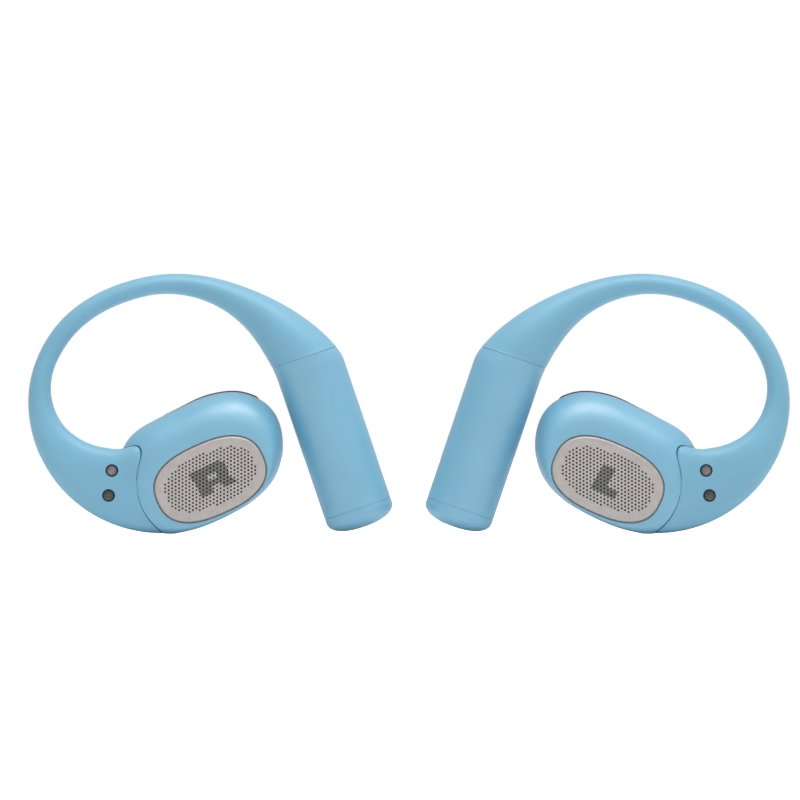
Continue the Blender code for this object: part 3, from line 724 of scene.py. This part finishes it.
def vent_paint():
    """Fine dark mesh in the vent slot."""
    p = Paint("vent_mesh", (0.045, 0.065, 0.080), 0.6, specular=0.3)
    wires = p.threads(0.6, "DIAGONAL")
    p.blend(p.math("MULTIPLY", wires, 0.6), (0.12, 0.15, 0.17))
    p.vary_roughness(0.3, 0.5, 0.7)
    p.bump(wires, 0.02, 0.8)
    return p.mat


# Both contacts are the same plated metal; the lower one is painted darker than the upper one as painted
# shade.
CONTACT_LIT_AND_SHADED_COLOURS = {"upper": (0.270, 0.228, 0.228), "lower": (0.130, 0.105, 0.092)}
COPPER_GAIN = (1.3, 1.0, 0.85)


def contact_paint(name, centre, colour):
    """Plated metal, tarnished copper-brown in the middle, with painted shade darkening it to slate towards
    the rim.
    """
    p = Paint(name, colour, 0.34, metallic=0.85)
    p.mottle(0.35, 0.25)
    copper = tuple(channel * gain for channel, gain in zip(colour, COPPER_GAIN))
    p.blend(p.spread(p.noise(0.5), 0.5, 0.75, 0.0, 0.6), copper)
    offset = p.node("ShaderNodeVectorMath", operation="SUBTRACT")
    offset.inputs[1].default_value = centre
    flat = p.node("ShaderNodeVectorMath", operation="MULTIPLY")
    flat.inputs[1].default_value = (1.0, 0.0, 1.0)
    length = p.node("ShaderNodeVectorMath", operation="LENGTH")
    p.link(p.place, offset.inputs[0])
    p.link(offset.outputs["Vector"], flat.inputs[0])
    p.link(flat.outputs["Vector"], length.inputs[0])
    # Painted shade: the plating turns dark slate towards its rim, where the gap round the pin lies in shadow.
    rim = p.spread(length.outputs["Value"], 0.42 * MM, 0.82 * MM, 0.0, 1.0)
    p.blend(rim, (0.075, 0.105, 0.120))
    p.vary_roughness(0.18, 0.28, 0.44)
    p.grain(0.05, 0.004, 0.7)
    return p.mat


def steel_paint(name, colour, size_mm, rough):
    """Bright drawn steel with a fine grain."""
    p = Paint(name, colour, rough, metallic=0.95)
    p.mottle(0.9, 0.12)
    p.vary_roughness(0.25, rough - 0.08, rough + 0.1)
    p.grain(size_mm, 0.003, 0.6)
    return p.mat


def board_paint():
    """Green solder mask with buried tracks and tinned pads."""
    p = Paint("circuit_board", (0.020, 0.140, 0.070), 0.35, specular=0.5)
    tracks = p.math("LESS_THAN", p.cells(0.9, "DISTANCE_TO_EDGE"), 0.07)
    p.blend(tracks, (0.045, 0.26, 0.12))
    p.blend(p.math("LESS_THAN", p.cells(1.1, "F1"), 0.16), (0.62, 0.60, 0.55))
    p.vary_roughness(0.6, 0.28, 0.42)
    p.bump(tracks, 0.01, 0.6)
    return p.mat


def cloth_paint():
    """Tight acoustic cloth."""
    p = Paint("acoustic_cloth", (0.050, 0.050, 0.052), 0.85, specular=0.2)
    weave = p.math("MULTIPLY", p.threads(0.5, "X"), p.threads(0.5, "Z"))
    p.blend(p.math("MULTIPLY", weave, 0.7), (0.10, 0.10, 0.10))
    p.set("Sheen Weight", 0.3)
    p.bump(weave, 0.03, 0.8)
    p.vary_roughness(0.4, 0.78, 0.92)
    return p.mat


def moulded_paint(name, colour, rough, size_mm=0.15):
    """Moulded plastic or rubber with a fine spark-eroded grain."""
    p = Paint(name, colour, rough, specular=0.4)
    p.mottle(1.5, 0.10)
    p.vary_roughness(0.6, rough - 0.07, rough + 0.08)
    p.grain(size_mm, 0.006, 0.6)
    return p.mat


def foil_paint():
    """Amber film with copper electrodes."""
    p = Paint("sensor_foil", (0.560, 0.360, 0.110), 0.28, specular=0.5)
    p.blend(p.math("GREATER_THAN", p.cells(1.6, "DISTANCE_TO_EDGE"), 0.09), (0.66, 0.34, 0.16))
    p.vary_roughness(0.8, 0.22, 0.36)
    p.grain(0.3, 0.004, 0.4)
    return p.mat


def film_paint():
    """Formed film of the diaphragm, faintly uneven."""
    p = Paint("diaphragm_film", (0.300, 0.290, 0.270), 0.3, specular=0.5)
    p.mottle(0.8, 0.08)
    p.vary_roughness(0.5, 0.24, 0.36)
    p.grain(0.25, 0.006, 0.5)
    return p.mat


def wrap_paint():
    """Shrink film on the cell, with soft wrinkles."""
    p = Paint("cell_wrap", (0.100, 0.190, 0.480), 0.3, specular=0.5)
    p.mottle(2.5, 0.12)
    p.vary_roughness(1.0, 0.22, 0.4)
    p.grain(0.9, 0.03, 0.5)
    return p.mat


# ---------------- speaker pod

POD_COLUMNS = 168


def pod_columns():
    return [360.0 * i / POD_COLUMNS for i in range(POD_COLUMNS)]


def crown_exponent(degrees):
    """Squareness of the pod's cross-section: fuller along the bottom, where the pod stands."""
    lean = max(0.0, math.cos(math.radians(degrees - FLOOR_DEG)))
    return CROWN_EXPONENT + FLOOR_EXPONENT_GAIN * lean * lean


def inner_outline(degrees):
    """Inside of the ear-side wall, drawn in where the hook base will be cut out of the shell."""
    inside = pod_radius(degrees) - POD_WALL
    away = abs((degrees - SEAM_MIDDLE_DEG + 180.0) % 360.0 - 180.0) - SEAM_HALF_DEG
    cut = min(inside, LEAF_WALL_RADIUS - POD_SEAM_CLEARANCE - POD_WALL)
    return cut + (inside - cut) * ease((away - SEAM_RETURN_FROM_DEG) / SEAM_RETURN_SPAN_DEG)


def crown_rings(steps, inset):
    """Rings of the crown from the grille opening out to the housing's widest line."""
    rings = [[] for _ in range(steps + 1)]
    for degrees in pod_columns():
        start = grille_radius(degrees, GRILLE_LINE)
        edge = inner_outline(degrees) if inset else pod_radius(degrees)
        power = crown_exponent(degrees)
        for k in range(steps + 1):
            height, out = super_pair(90.0 * k / steps, power)
            y = POD_SPLIT_Y + (POD_FACE_Y + inset - POD_SPLIT_Y) * height
            rings[k].append(pod_place(degrees, start + (edge - start) * out, y))
    return rings


def leaf_clearance():
    """Guide shape of the hook base: its top edge and seam, grown by the running clearance."""
    steps = 60
    path = [top_edge(i / steps) for i in range(steps + 1)]
    path += [leaf_wall(i / steps) for i in range(1, steps + 1)]
    outline = grown_path(path, POD_SEAM_CLEARANCE)
    reach = 18.0
    outline.append(pod_point(SEAM_BOTTOM_DEG, reach))
    outline.append((PIVOT_U - reach, PIVOT_W - reach))
    outline.append((PIVOT_U - reach, outline[0][1]))
    return flat_plate(outline, GUIDE_FRONT_Y, LEAF_REAR_Y + LEAF_REAR_GAP)


def pod_front_shell(prefix, side, mat):
    """Ear-side half of the housing, cut back round the seam with the hook base."""
    outer = crown_rings(steps=34, inset=0.0)
    inner = crown_rings(steps=12, inset=POD_WALL)
    obj = piece(f"{prefix}_pod_front_skin", loft(outer + inner[::-1], cyclic=True), side, mat)
    carve(obj, [leaf_clearance()], side)
    return obj


def pod_rear_shell(prefix, side, mat):
    """Outer half of the housing: a smooth dome, with a lip behind the hook base and a tongue in the seam."""
    rim_y = POD_SPLIT_Y + SEAM_LINE
    centre = (PIVOT_U + POD_CENTRE[0], PIVOT_W + POD_CENTRE[1])

    def dome(inset, steps):
        """Rings from the rim back to a small one round the middle, which a flat cap closes."""
        layer = []
        for k in range(steps + 1):
            ring = []
            for degrees in pod_columns():
                height, out = super_pair(90.0 * k / (steps + 0.5), crown_exponent(degrees))
                u, w = pod_point(degrees, pod_radius(degrees) - inset)
                y = rim_y + (POD_BACK_Y - inset - rim_y) * out
                ring.append((centre[0] + (u - centre[0]) * height, y, centre[1] + (w - centre[1]) * height))
            layer.append(ring)
        return layer

    def rim(inset, y):
        return [pod_place(degrees, pod_radius(degrees) - inset, y) for degrees in pod_columns()]

    tongue_y = POD_SPLIT_Y + TONGUE_GAP
    tongue = [rim(TONGUE_INSET, rim_y), rim(TONGUE_INSET, tongue_y), rim(POD_WALL, tongue_y)]
    rings = dome(inset=0.0, steps=36)[::-1] + tongue + dome(inset=POD_WALL, steps=16)
    return piece(f"{prefix}_pod_rear_skin", loft(rings), side, mat)


def grille_ring(grow, y):
    """Ring along the grille's oval, grown or shrunk by an amount."""
    ct, st = unit(GRILLE_TILT_DEG)
    columns = 144
    ring = []
    for i in range(columns):
        a, b = super_pair(360.0 * (i + 0.5) / columns, GRILLE_EXPONENT)
        a *= GRILLE_HALF[0] + grow
        b *= GRILLE_HALF[1] + grow
        u = PIVOT_U + GRILLE_CENTRE[0] + a * ct - b * st
        w = PIVOT_W + GRILLE_CENTRE[1] + a * st + b * ct
        ring.append((u, y, w))
    return ring


def grille_bezel(prefix, side, mat):
    """Oval rim: the floor of the dark line, a rounded outer edge and a thin lip that lies on the mesh."""
    groove_y = POD_FACE_Y + GROOVE_DEPTH
    rings = [
        grille_ring(GROOVE_FLOOR, BEZEL_BACK_Y),
        grille_ring(GROOVE_FLOOR, groove_y),
        grille_ring(0.0, groove_y),
    ]
    for c, s in quarter_turn(6):
        rings.append(grille_ring(-RIM_ROUND * (1.0 - c), GRILLE_FRONT_Y + RIM_ROUND * (1.0 - s)))
    rings.append(grille_ring(-GRILLE_RIM + RIM_SLOPE, GRILLE_FRONT_Y))
    rings.append(grille_ring(-GRILLE_RIM, MESH_FRONT_Y - RIM_LIP_GAP))
    rings.append(grille_ring(-GRILLE_RIM + RIM_SHELF, MESH_FRONT_Y - RIM_SHELF_GAP))
    rings.append(grille_ring(-GRILLE_RIM + RIM_SHELF, BEZEL_BACK_Y))
    return piece(f"{prefix}_grille_rim", loft(rings, cyclic=True), side, mat)


def cell_outline():
    """Corners and edge middles of one cell of the hole lattice, about its own centre."""
    du, dw = HOLE_COLUMN_PITCH, HOLE_ROW_PITCH
    quarter = [(2 * du / 3, 0.0), (du / 2, dw / 4), (du / 3, dw / 2), (0.0, dw / 2)]
    upper = quarter + [(-u, w) for u, w in reversed(quarter[:3])]
    return upper + [(u, -w) for u, w in reversed(upper[1:-1])]


def plate_cells():
    """Lattice cells of the plate: the centre of each, and whether it has a hole."""
    reach = int(GRILLE_HALF[0] / HOLE_COLUMN_PITCH) + 2
    for column in range(-reach, reach + 1):
        for row in range(-reach, reach + 1):
            u = PIVOT_U + GRILLE_CENTRE[0] + column * HOLE_COLUMN_PITCH
            w = PIVOT_W + GRILLE_CENTRE[1] + (row + 0.5 * (column % 2)) * HOLE_ROW_PITCH
            if oval_measure(u - PIVOT_U, w - PIVOT_W, -MESH_INSET) < 1.0:
                yield u, w, oval_measure(u - PIVOT_U, w - PIVOT_W, -HOLE_FIELD_INSET) < 1.0


def hole_ring(bm, outline, u, y, w):
    """Points round a hole, one towards each point of its cell's outline."""
    ring = []
    for a, b in outline:
        size = math.hypot(a, b)
        ring.append(bm.verts.new((u + HOLE_RADIUS * a / size, y, w + HOLE_RADIUS * b / size)))
    return ring


def grille_mesh(prefix, side, mat):
    """Perforated plate: staggered round holes across the oval, each with its own wall."""
    bm = bmesh.new()
    outline = cell_outline()
    count = len(outline)
    back_y = MESH_FRONT_Y + MESH_THICKNESS
    shared = {}

    def corner(u, y, w):
        key = (round(u, 4), round(y, 4), round(w, 4))
        if key not in shared:
            shared[key] = bm.verts.new((u, y, w))
        return shared[key]

    for u, w, holed in plate_cells():
        front = [corner(u + a, MESH_FRONT_Y, w + b) for a, b in outline]
        back = [corner(u + a, back_y, w + b) for a, b in outline]
        if not holed:
            bm.faces.new(front)
            bm.faces.new(reversed(back))
            continue
        near = hole_ring(bm, outline, u, MESH_FRONT_Y, w)
        far = hole_ring(bm, outline, u, back_y, w)
        for j in range(count):
            k = (j + 1) % count
            bm.faces.new((front[j], front[k], near[k], near[j]))
            bm.faces.new((back[k], back[j], far[j], far[k]))
            bm.faces.new((near[j], near[k], far[k], far[j]))
    rim = [edge for edge in bm.edges if len(edge.link_faces) == 1]
    front_rim = [edge for edge in rim if edge.verts[0].co.y < MESH_FRONT_Y + 0.5 * MESH_THICKNESS]
    for edge in front_rim:
        a, b = edge.verts
        bm.faces.new((a, b, corner(b.co.x, back_y, b.co.z), corner(a.co.x, back_y, a.co.z)))
    return piece(f"{prefix}_grille_perforated", bm, side, mat)


def vent_fade(share):
    """How far the vent strip stands out along its length, as a share of its full height."""
    sink = 1.0 - VENT_SINK * ease((share - VENT_SINK_FROM) / VENT_SINK_SPAN)
    return ease(share / VENT_FADE_IN) * sink * ease((1.0 - share) / VENT_FADE_OUT)


def vent_strip(prefix, side, mat):
    """Band of fine mesh along the housing's top edge, standing a hair proud."""
    low, high = VENT_DEG
    y0, y1 = VENT_Y
    drop, slant = VENT_CHAMFER
    steps = 48
    rings = []
    for i in range(steps + 1):
        degrees = low + (high - low) * i / steps
        top = pod_radius(degrees) + VENT_PROUD * vent_fade(i / steps)
        root = pod_radius(degrees) - VENT_ROOT
        section = [(root, y0), (top - drop, y0), (top, y0 + slant)]
        section += [(top, y1 - slant), (top - drop, y1), (root, y1)]
        rings.append([pod_place(degrees, radius, y) for radius, y in section])
    return piece(f"{prefix}_vent_strip", loft(rings), side, mat)


# ---------------- ear hook

HOOK_POINTS = 56


def hook_section(inner, outer, front, rear, exponents, bulge=None, inset=0.0):
    """Ring of a hook section from its inner plan point to its outer one, drawn in by an inset."""
    front_inner, front_outer, behind = exponents
    half_width = 0.5 * math.hypot(outer[0] - inner[0], outer[1] - inner[1])
    half_depth = 0.5 * (rear - front)
    ring = []
    for j in range(HOOK_POINTS):
        degrees = 360.0 * j / HOOK_POINTS
        in_front = front_inner if degrees < 270.0 else front_outer
        a, b = super_pair(degrees, in_front if degrees > 180.0 else behind)
        a *= 1.0 - inset / half_width
        b *= 1.0 - inset / half_depth
        share = 0.5 * (a + 1.0)
        u = inner[0] + (outer[0] - inner[0]) * share
        w = inner[1] + (outer[1] - inner[1]) * share
        if bulge:
            du, dw = bulge(share)
            u += du
            w += dw
        ring.append((u, 0.5 * (front + rear) + half_depth * b, w))
    return ring


def arm_section(degrees):
    """Hook section at an angle about the loop centre."""
    outer_degrees = degrees + OUTER_LEAD_DEG * ease((OUTER_LEAD_FROM_DEG - degrees) / OUTER_LEAD_SPAN_DEG)
    inner = loop_point(degrees, soft(HOOK_INNER, degrees, HOOK_EDGE_SPREAD_DEG))
    outer = loop_point(outer_degrees, soft(HOOK_OUTER, outer_degrees, HOOK_EDGE_SPREAD_DEG))
    leafy = ease((degrees - LEAF_SHAPE_FROM_DEG) / (LEAF_START_DEG - LEAF_SHAPE_FROM_DEG))
    exponents = mixed(ARM_EXPONENTS, LEAF_EXPONENTS, leafy)
    front = soft(HOOK_FRONT, degrees, HOOK_DEPTH_SPREAD_DEG)
    rear = soft(HOOK_REAR, degrees, HOOK_DEPTH_SPREAD_DEG)
    return hook_section(inner, outer, front, rear, exponents)


def top_edge(t):
    """Plan point on the hook base's top edge, from the loop (0) round the corner to the seam (1)."""
    return tuple(soft([(at, point[i]) for at, point in LEAF_TOP_EDGE], t, TOP_EDGE_SPREAD) for i in (0, 1))


def leaf_wall(share):
    """Plan point on the seam round the pod, from the corner (0) to the bottom (1)."""
    first = angle_about_pivot(top_edge(1.0))
    degrees = first + (SEAM_BOTTOM_DEG - first) * share
    lift = LEAF_WALL_LIFT * max(0.0, 1.0 - share / LEAF_WALL_LIFT_SHARE) ** 2
    return pod_point(degrees, LEAF_WALL_RADIUS + lift)


def leaf_section(t, inset=0.0):
    """Section of the hook base between its start (0) and the seam round the pod (1)."""
    inner = top_edge(t)
    end_deg = math.degrees(math.atan2(LEAF_BOTTOM[1], LEAF_BOTTOM[0])) % 360.0
    outer_deg = LEAF_START_DEG + (end_deg - LEAF_START_DEG) * t
    start_r = soft(HOOK_OUTER, LEAF_START_DEG, HOOK_EDGE_SPREAD_DEG)
    outer = loop_point(outer_deg, start_r + (math.hypot(*LEAF_BOTTOM) - start_r) * t)
    seam_in, seam_out = leaf_wall(0.0), leaf_wall(1.0)

    def bulge(share):
        wall = leaf_wall(share)
        weight = t * t
        return tuple((wall[i] - seam_in[i] - (seam_out[i] - seam_in[i]) * share) * weight for i in (0, 1))

    start_front = soft(HOOK_FRONT, LEAF_START_DEG, HOOK_DEPTH_SPREAD_DEG)
    front = start_front + (LEAF_FRONT_Y - start_front) * t
    exponents = mixed(LEAF_EXPONENTS, SEAM_EXPONENTS, t)
    return hook_section(inner, outer, front, LEAF_REAR_Y, exponents, bulge, inset)


def towards_pivot(ring, distance):
    """The ring shifted in the plan towards the swivel axis."""
    shifted = []
    for u, y, w in ring:
        share = distance / math.hypot(u - PIVOT_U, w - PIVOT_W)
        shifted.append((u + (PIVOT_U - u) * share, y, w + (PIVOT_W - w) * share))
    return shifted


def leaf_rings():
    """Rings of the hook base, from its stepped, rounded edge at the seam back to its start on the loop."""
    step_inset = LEAF_EDGE_ROUND + LEAF_EDGE_STEP
    rings = [
        towards_pivot(leaf_section(1.0, step_inset), POD_SEAM_CLEARANCE - TONGUE_GAP),
        leaf_section(1.0, step_inset),
    ]
    for c, s in quarter_turn(5)[:-1]:
        back = LEAF_EDGE_ROUND * (1.0 - c) / LEAF_LENGTH
        rings.append(leaf_section(1.0 - back, LEAF_EDGE_ROUND * (1.0 - s)))
    leaf_steps = 44
    for i in range(leaf_steps):
        rings.append(leaf_section((1.0 - LEAF_EDGE_ROUND / LEAF_LENGTH) * (1.0 - i / leaf_steps)))
    return rings


def contact_well(centre):
    """Guide shape of a contact's well, flared where the skin rolls over its rim."""
    lip = CONTACT_FACE_Y - WELL_LIP
    profile = [(WELL_RADIUS, CONTACT_BACK_Y), (WELL_RADIUS, lip)]
    for c, s in quarter_turn(5)[1:]:
        profile.append((WELL_RADIUS + WELL_FLARE * (1.0 - c), lip - WELL_FLARE_DEPTH * s))
    profile.append((WELL_RADIUS + 2.0 * WELL_FLARE, WELL_MOUTH_Y))
    return turned(profile, depth_axis(centre), 48)


def hook_skin(prefix, side, mat):
    """One silicone skin from the seam round the pod, over the ear, to the seam at the barrel."""
    rings = leaf_rings()
    arm_steps = 150
    for i in range(arm_steps + 1):
        rings.append(arm_section(LEAF_START_DEG - (LEAF_START_DEG - ARM_END_DEG) * i / arm_steps))
    end = HORN_SEAM - 0.5 * SEAM_LINE
    rings.append(barrel_ring(end - EDGE_ROUND, 0.0, HOOK_POINTS, HORN_SEAM))
    rings.append(barrel_ring(end, EDGE_ROUND, HOOK_POINTS, HORN_SEAM))
    tongue = end + SEAM_LINE - TONGUE_GAP
    for along, inset in ((end, TONGUE_INSET), (tongue, TONGUE_INSET), (tongue, TONGUE_DEPTH)):
        rings.append(barrel_ring(along, inset, HOOK_POINTS, HORN_SEAM))
    obj = piece(f"{prefix}_hook_skin", loft(rings, ladder=True), side, mat)
    carve(obj, [contact_well(centre) for centre in CONTACTS.values()], side)
    return obj


def contact_pin(prefix, name, side, mat):
    """Charging contact: a flat face with a turned line, and a wide chamfer that falls into the well."""
    profile = [(CONTACT_MIDDLE, CONTACT_FACE_Y)]
    profile += [(CONTACT_RADIUS - inset, CONTACT_FACE_Y + depth) for inset, depth in CONTACT_FACE]
    profile += [(CONTACT_RADIUS, CONTACT_BACK_Y), (CONTACT_MIDDLE, CONTACT_BACK_Y)]
    return piece(f"{prefix}_contact_pin_{name}", turned(profile, depth_axis(CONTACTS[name]), 48), side, mat)


# ---------------- battery barrel

def barrel_ring(along, inset, segments, shape_at=None):
    """Ring round the barrel: near the horn its outer side draws in and its loop side flares."""
    share = ((along if shape_at is None else shape_at) - HORN_SEAM) / SHOULDER_REACH
    fade = 1.0 - math.sin(0.5 * math.pi * min(max(share, 0.0), 1.0))
    low = -BARREL_RADIUS - SHOULDER_FLARE * fade
    high = BARREL_RADIUS - SHOULDER_DRAW * fade
    depth = BARREL_RADIUS - SHOULDER_DEPTH_SHARE * SHOULDER_DRAW * fade - inset
    ring = []
    for j in range(segments):
        c, s = unit(360.0 * j / segments)
        ring.append(barrel_point(0.5 * (low + high) + (0.5 * (high - low) - inset) * c, depth * s, along))
    return ring


def barrel_skin(prefix, side, mat):
    """Tube whose outer side rounds in at the top to meet the horn."""
    segments = 112
    wall = BARREL_RADIUS - BARREL_BORE
    top = HORN_SEAM + 0.5 * SEAM_LINE
    low = CAP_SEAM - 0.5 * CAP_LINE
    rings = [barrel_ring(top, wall, segments), barrel_ring(top, EDGE_ROUND, segments)]
    shoulder_steps = 22
    for i in range(shoulder_steps + 1):
        rings.append(barrel_ring(top + EDGE_ROUND + SHOULDER_REACH * i / shoulder_steps, 0.0, segments))
    start = top + EDGE_ROUND + SHOULDER_REACH
    straight_steps = 12
    for i in range(1, straight_steps + 1):
        rings.append(barrel_ring(start + (low - CAP_ROUND - start) * i / straight_steps, 0.0, segments))
    rings.append(barrel_ring(low, CAP_ROUND, segments))
    rings.append(barrel_ring(low, wall, segments))
    return piece(f"{prefix}_barrel_skin", loft(rings, cyclic=True), side, mat)


def cap_skin(prefix, side, mat):
    """Shallow domed end cap with its plug collar."""
    top = CAP_SEAM + 0.5 * CAP_LINE
    spring = CAP_SEAM + CAP_WALL
    collar = BARREL_BORE - CAP_PLUG_GAP
    tongue = BARREL_RADIUS - TONGUE_INSET
    profile = [
        (collar, top - CAP_PLUG),
        (collar, top - CAP_LINE + TONGUE_GAP),
        (tongue, top - CAP_LINE + TONGUE_GAP),
        (tongue, top),
        (BARREL_RADIUS - CAP_ROUND, top),
        (BARREL_RADIUS, top + CAP_ROUND),
        (BARREL_RADIUS, 0.5 * (top + spring)),
    ]
    steps = 24
    for k in range(steps):
        out, rise = super_pair(90.0 * k / steps, CAP_EXPONENT)
        profile.append((BARREL_RADIUS * out, spring + (BARREL_END - spring) * rise))
    return piece(f"{prefix}_cap_skin", turned(profile, barrel_point, 112), side, mat)


# ---------------- assembly

def on_body(obj, body, slot_name, *nodes):
    """Hang a piece on a CAD body in place of its CAD nodes."""
    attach(obj, body)
    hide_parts(*nodes)


def flex_band(side):
    """Start and end of a line across the hook skin, from the loop along the band's heading."""
    middle = 0.5 * (curve(HOOK_INNER, FLEX_START_DEG) + curve(HOOK_OUTER, FLEX_START_DEG))
    u, w = loop_point(FLEX_START_DEG, middle)
    du, dw = unit(FLEX_HEADING_DEG)
    end = (u + FLEX_LENGTH * du, 0.0, w + FLEX_LENGTH * dw)
    return world((u, 0.0, w), side), world(end, side)


def build_side(prefix, side, paints):
    hook, pod, barrel = f"{prefix}_hook", f"{prefix}_pod", f"{prefix}_barrel"
    skin = hook_skin(prefix, side, paints["silicone"])
    start, end = flex_band(side)
    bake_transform(skin)
    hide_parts(f"{prefix}_hook_front_arm", f"{prefix}_hook_rear_arm")
    for name in CONTACTS:
        centre = world((CONTACTS[name][0], 0.0, CONTACTS[name][1]), side)
        # Each contact's plating carries painted shade: darker on the lower contact, and darker towards the
        # rim.
        plating = contact_paint(f"contact_plating_{prefix}_{name}", centre, CONTACT_LIT_AND_SHADED_COLOURS[name])
        pin = contact_pin(prefix, name, side, plating)
        on_body(pin, hook, "contact_metal", f"{prefix}_contact_{name}")
    on_body(pod_front_shell(prefix, side, paints["shell"]), pod, "shell", f"{prefix}_pod_front_shell")
    on_body(pod_rear_shell(prefix, side, paints["shell"]), pod, "shell", f"{prefix}_pod_rear_shell")
    on_body(grille_bezel(prefix, side, paints["grille_metal"]), pod, "grille_metal", f"{prefix}_grille_bezel")
    lettered = letter_paint(prefix, side)
    on_body(grille_mesh(prefix, side, lettered), pod, "grille_metal", f"{prefix}_grille_mesh")
    on_body(vent_strip(prefix, side, paints["vent_mesh"]), pod, "vent_mesh", f"{prefix}_rear_vent_mesh")
    on_body(barrel_skin(prefix, side, paints["shell"]), barrel, "shell", f"{prefix}_battery_barrel")
    on_body(cap_skin(prefix, side, paints["shell"]), barrel, "shell", f"{prefix}_battery_end_cap")


def paint_inner_nodes(paints):
    """Materials of the CAD nodes that stay as they are."""
    slots = {part["node"]: part["material_slot"] for part in frame["record"]["subparts"]}
    for name, obj in frame["nodes"].items():
        if obj.hide_render:
            continue
        obj.data.materials.clear()
        obj.data.materials.append(paints[slots[name]])


def make_paints():
    return {
        "shell": shell_paint(),
        "silicone": silicone_paint(),
        "grille_metal": grille_paint("grille_rim").mat,
        "vent_mesh": vent_paint(),
        "spring_steel": steel_paint("spring_steel", (0.550, 0.560, 0.570), 0.08, 0.3),
        "magnet_steel": steel_paint("magnet_steel", (0.500, 0.500, 0.510), 0.14, 0.36),
        "can_steel": steel_paint("can_steel", (0.600, 0.600, 0.600), 0.1, 0.32),
        "circuit_board": board_paint(),
        "sensor_foil": foil_paint(),
        "black_plastic": moulded_paint("black_plastic", (0.022, 0.022, 0.024), 0.5),
        "cloth": cloth_paint(),
        "diaphragm": film_paint(),
        "seal_rubber": moulded_paint("seal_rubber", (0.030, 0.030, 0.032), 0.65, 0.2),
        "cell_can": wrap_paint(),
    }


# ---------------- studio

WHITE = (1.0, 1.0, 1.0, 1.0)
FLOOR_HALF = 4.0
FLOOR_COLOUR = (0.80, 0.80, 0.80)
FLOOR_GLOW = 0.14
FLOOR_SEEN_GLOW = 0.8
CAMERA_LENS = 900.0
SENSOR = 36.0
FRAME_WIDTH = 0.120
CAMERA_X = -0.00135
CAMERA_Z = 0.020
CAMERA_CLIP = (0.05, 20.0)
FLOOR_DROP = 0.00002
SKY_TOWARDS = (0.55, 0.0, 0.83)
SKY_STRENGTH = (0.36, 0.74)
KEY_PLACE = (0.04, -0.11, 0.55)
KEY_TARGET = (0.0, 0.0, 0.02)
KEY_SIZE = (0.4, 0.3)
KEY_POWER = 2.0


def make_floor():
    """Plain pale floor just under the lowest point, shown white to the camera."""
    mesh = bpy.data.meshes.new("studio_floor")
    z = CAD_BOX[0].z - FLOOR_DROP
    corners = [(x * FLOOR_HALF, y * FLOOR_HALF, z) for x, y in ((-1, -1), (1, -1), (1, 1), (-1, 1))]
    mesh.from_pydata(corners, [], [(0, 1, 2, 3)])
    floor = add_object("studio_floor", mesh)
    p = Paint("studio_floor", FLOOR_COLOUR, 0.9, specular=0.1)
    seen = p.node("ShaderNodeLightPath").outputs["Is Camera Ray"]
    p.set("Emission Color", WHITE)
    glow = p.math("MULTIPLY_ADD", seen, FLOOR_SEEN_GLOW - FLOOR_GLOW, FLOOR_GLOW)
    p.link(glow, p.shader.inputs["Emission Strength"])
    mesh.materials.append(p.mat)


def make_world():
    """White surroundings for the camera, and a soft sky, brighter above and to one side, for lighting."""
    scene = bpy.context.scene
    scene.world = bpy.data.worlds.new("studio")
    scene.world.use_nodes = True
    tree = scene.world.node_tree
    background = tree.nodes["Background"]
    place = tree.nodes.new("ShaderNodeTexCoord").outputs["Generated"]
    towards = tree.nodes.new("ShaderNodeVectorMath")
    towards.operation = "DOT_PRODUCT"
    towards.inputs[1].default_value = SKY_TOWARDS
    tree.links.new(place, towards.inputs[0])
    sky = tree.nodes.new("ShaderNodeMapRange")
    tree.links.new(towards.outputs["Value"], sky.inputs["Value"])
    sky.inputs["From Min"].default_value = -1.0
    sky.inputs["From Max"].default_value = 1.0
    sky.inputs["To Min"].default_value = SKY_STRENGTH[0]
    sky.inputs["To Max"].default_value = SKY_STRENGTH[1]
    seen = tree.nodes.new("ShaderNodeLightPath").outputs["Is Camera Ray"]
    mix = tree.nodes.new("ShaderNodeMix")
    mix.inputs[3].default_value = 1.0
    tree.links.new(seen, mix.inputs[0])
    tree.links.new(sky.outputs["Result"], mix.inputs[2])
    tree.links.new(mix.outputs[0], background.inputs["Strength"])
    background.inputs["Color"].default_value = WHITE


def make_key_light():
    """One soft box above and in front."""
    data = bpy.data.lights.new("key_light", "AREA")
    data.shape = "RECTANGLE"
    data.size, data.size_y = KEY_SIZE
    data.energy = KEY_POWER
    light = add_object("key_light", data)
    light.location = KEY_PLACE
    aim = Vector(KEY_TARGET) - Vector(KEY_PLACE)
    light.rotation_euler = aim.to_track_quat("-Z", "Y").to_euler()


def make_camera():
    """Long lens in front, so that the pair is seen nearly without perspective."""
    data = bpy.data.cameras.new("camera")
    data.lens = CAMERA_LENS
    data.sensor_width = SENSOR
    camera = add_object("camera", data)
    distance = FRAME_WIDTH * CAMERA_LENS / SENSOR
    data.clip_start, data.clip_end = CAMERA_CLIP
    camera.location = (CAMERA_X, -distance, CAMERA_Z)
    camera.rotation_euler = (math.radians(90.0), 0.0, 0.0)
    bpy.context.scene.camera = camera


def make_studio():
    bpy.context.scene.view_settings.view_transform = "Standard"
    make_floor()
    make_world()
    make_key_light()
    make_camera()


def main():
    paints = make_paints()
    for prefix, side in SIDES:
        build_side(prefix, side, paints)
    paint_inner_nodes(paints)
    make_studio()
    bpy.context.view_layer.update()


main()
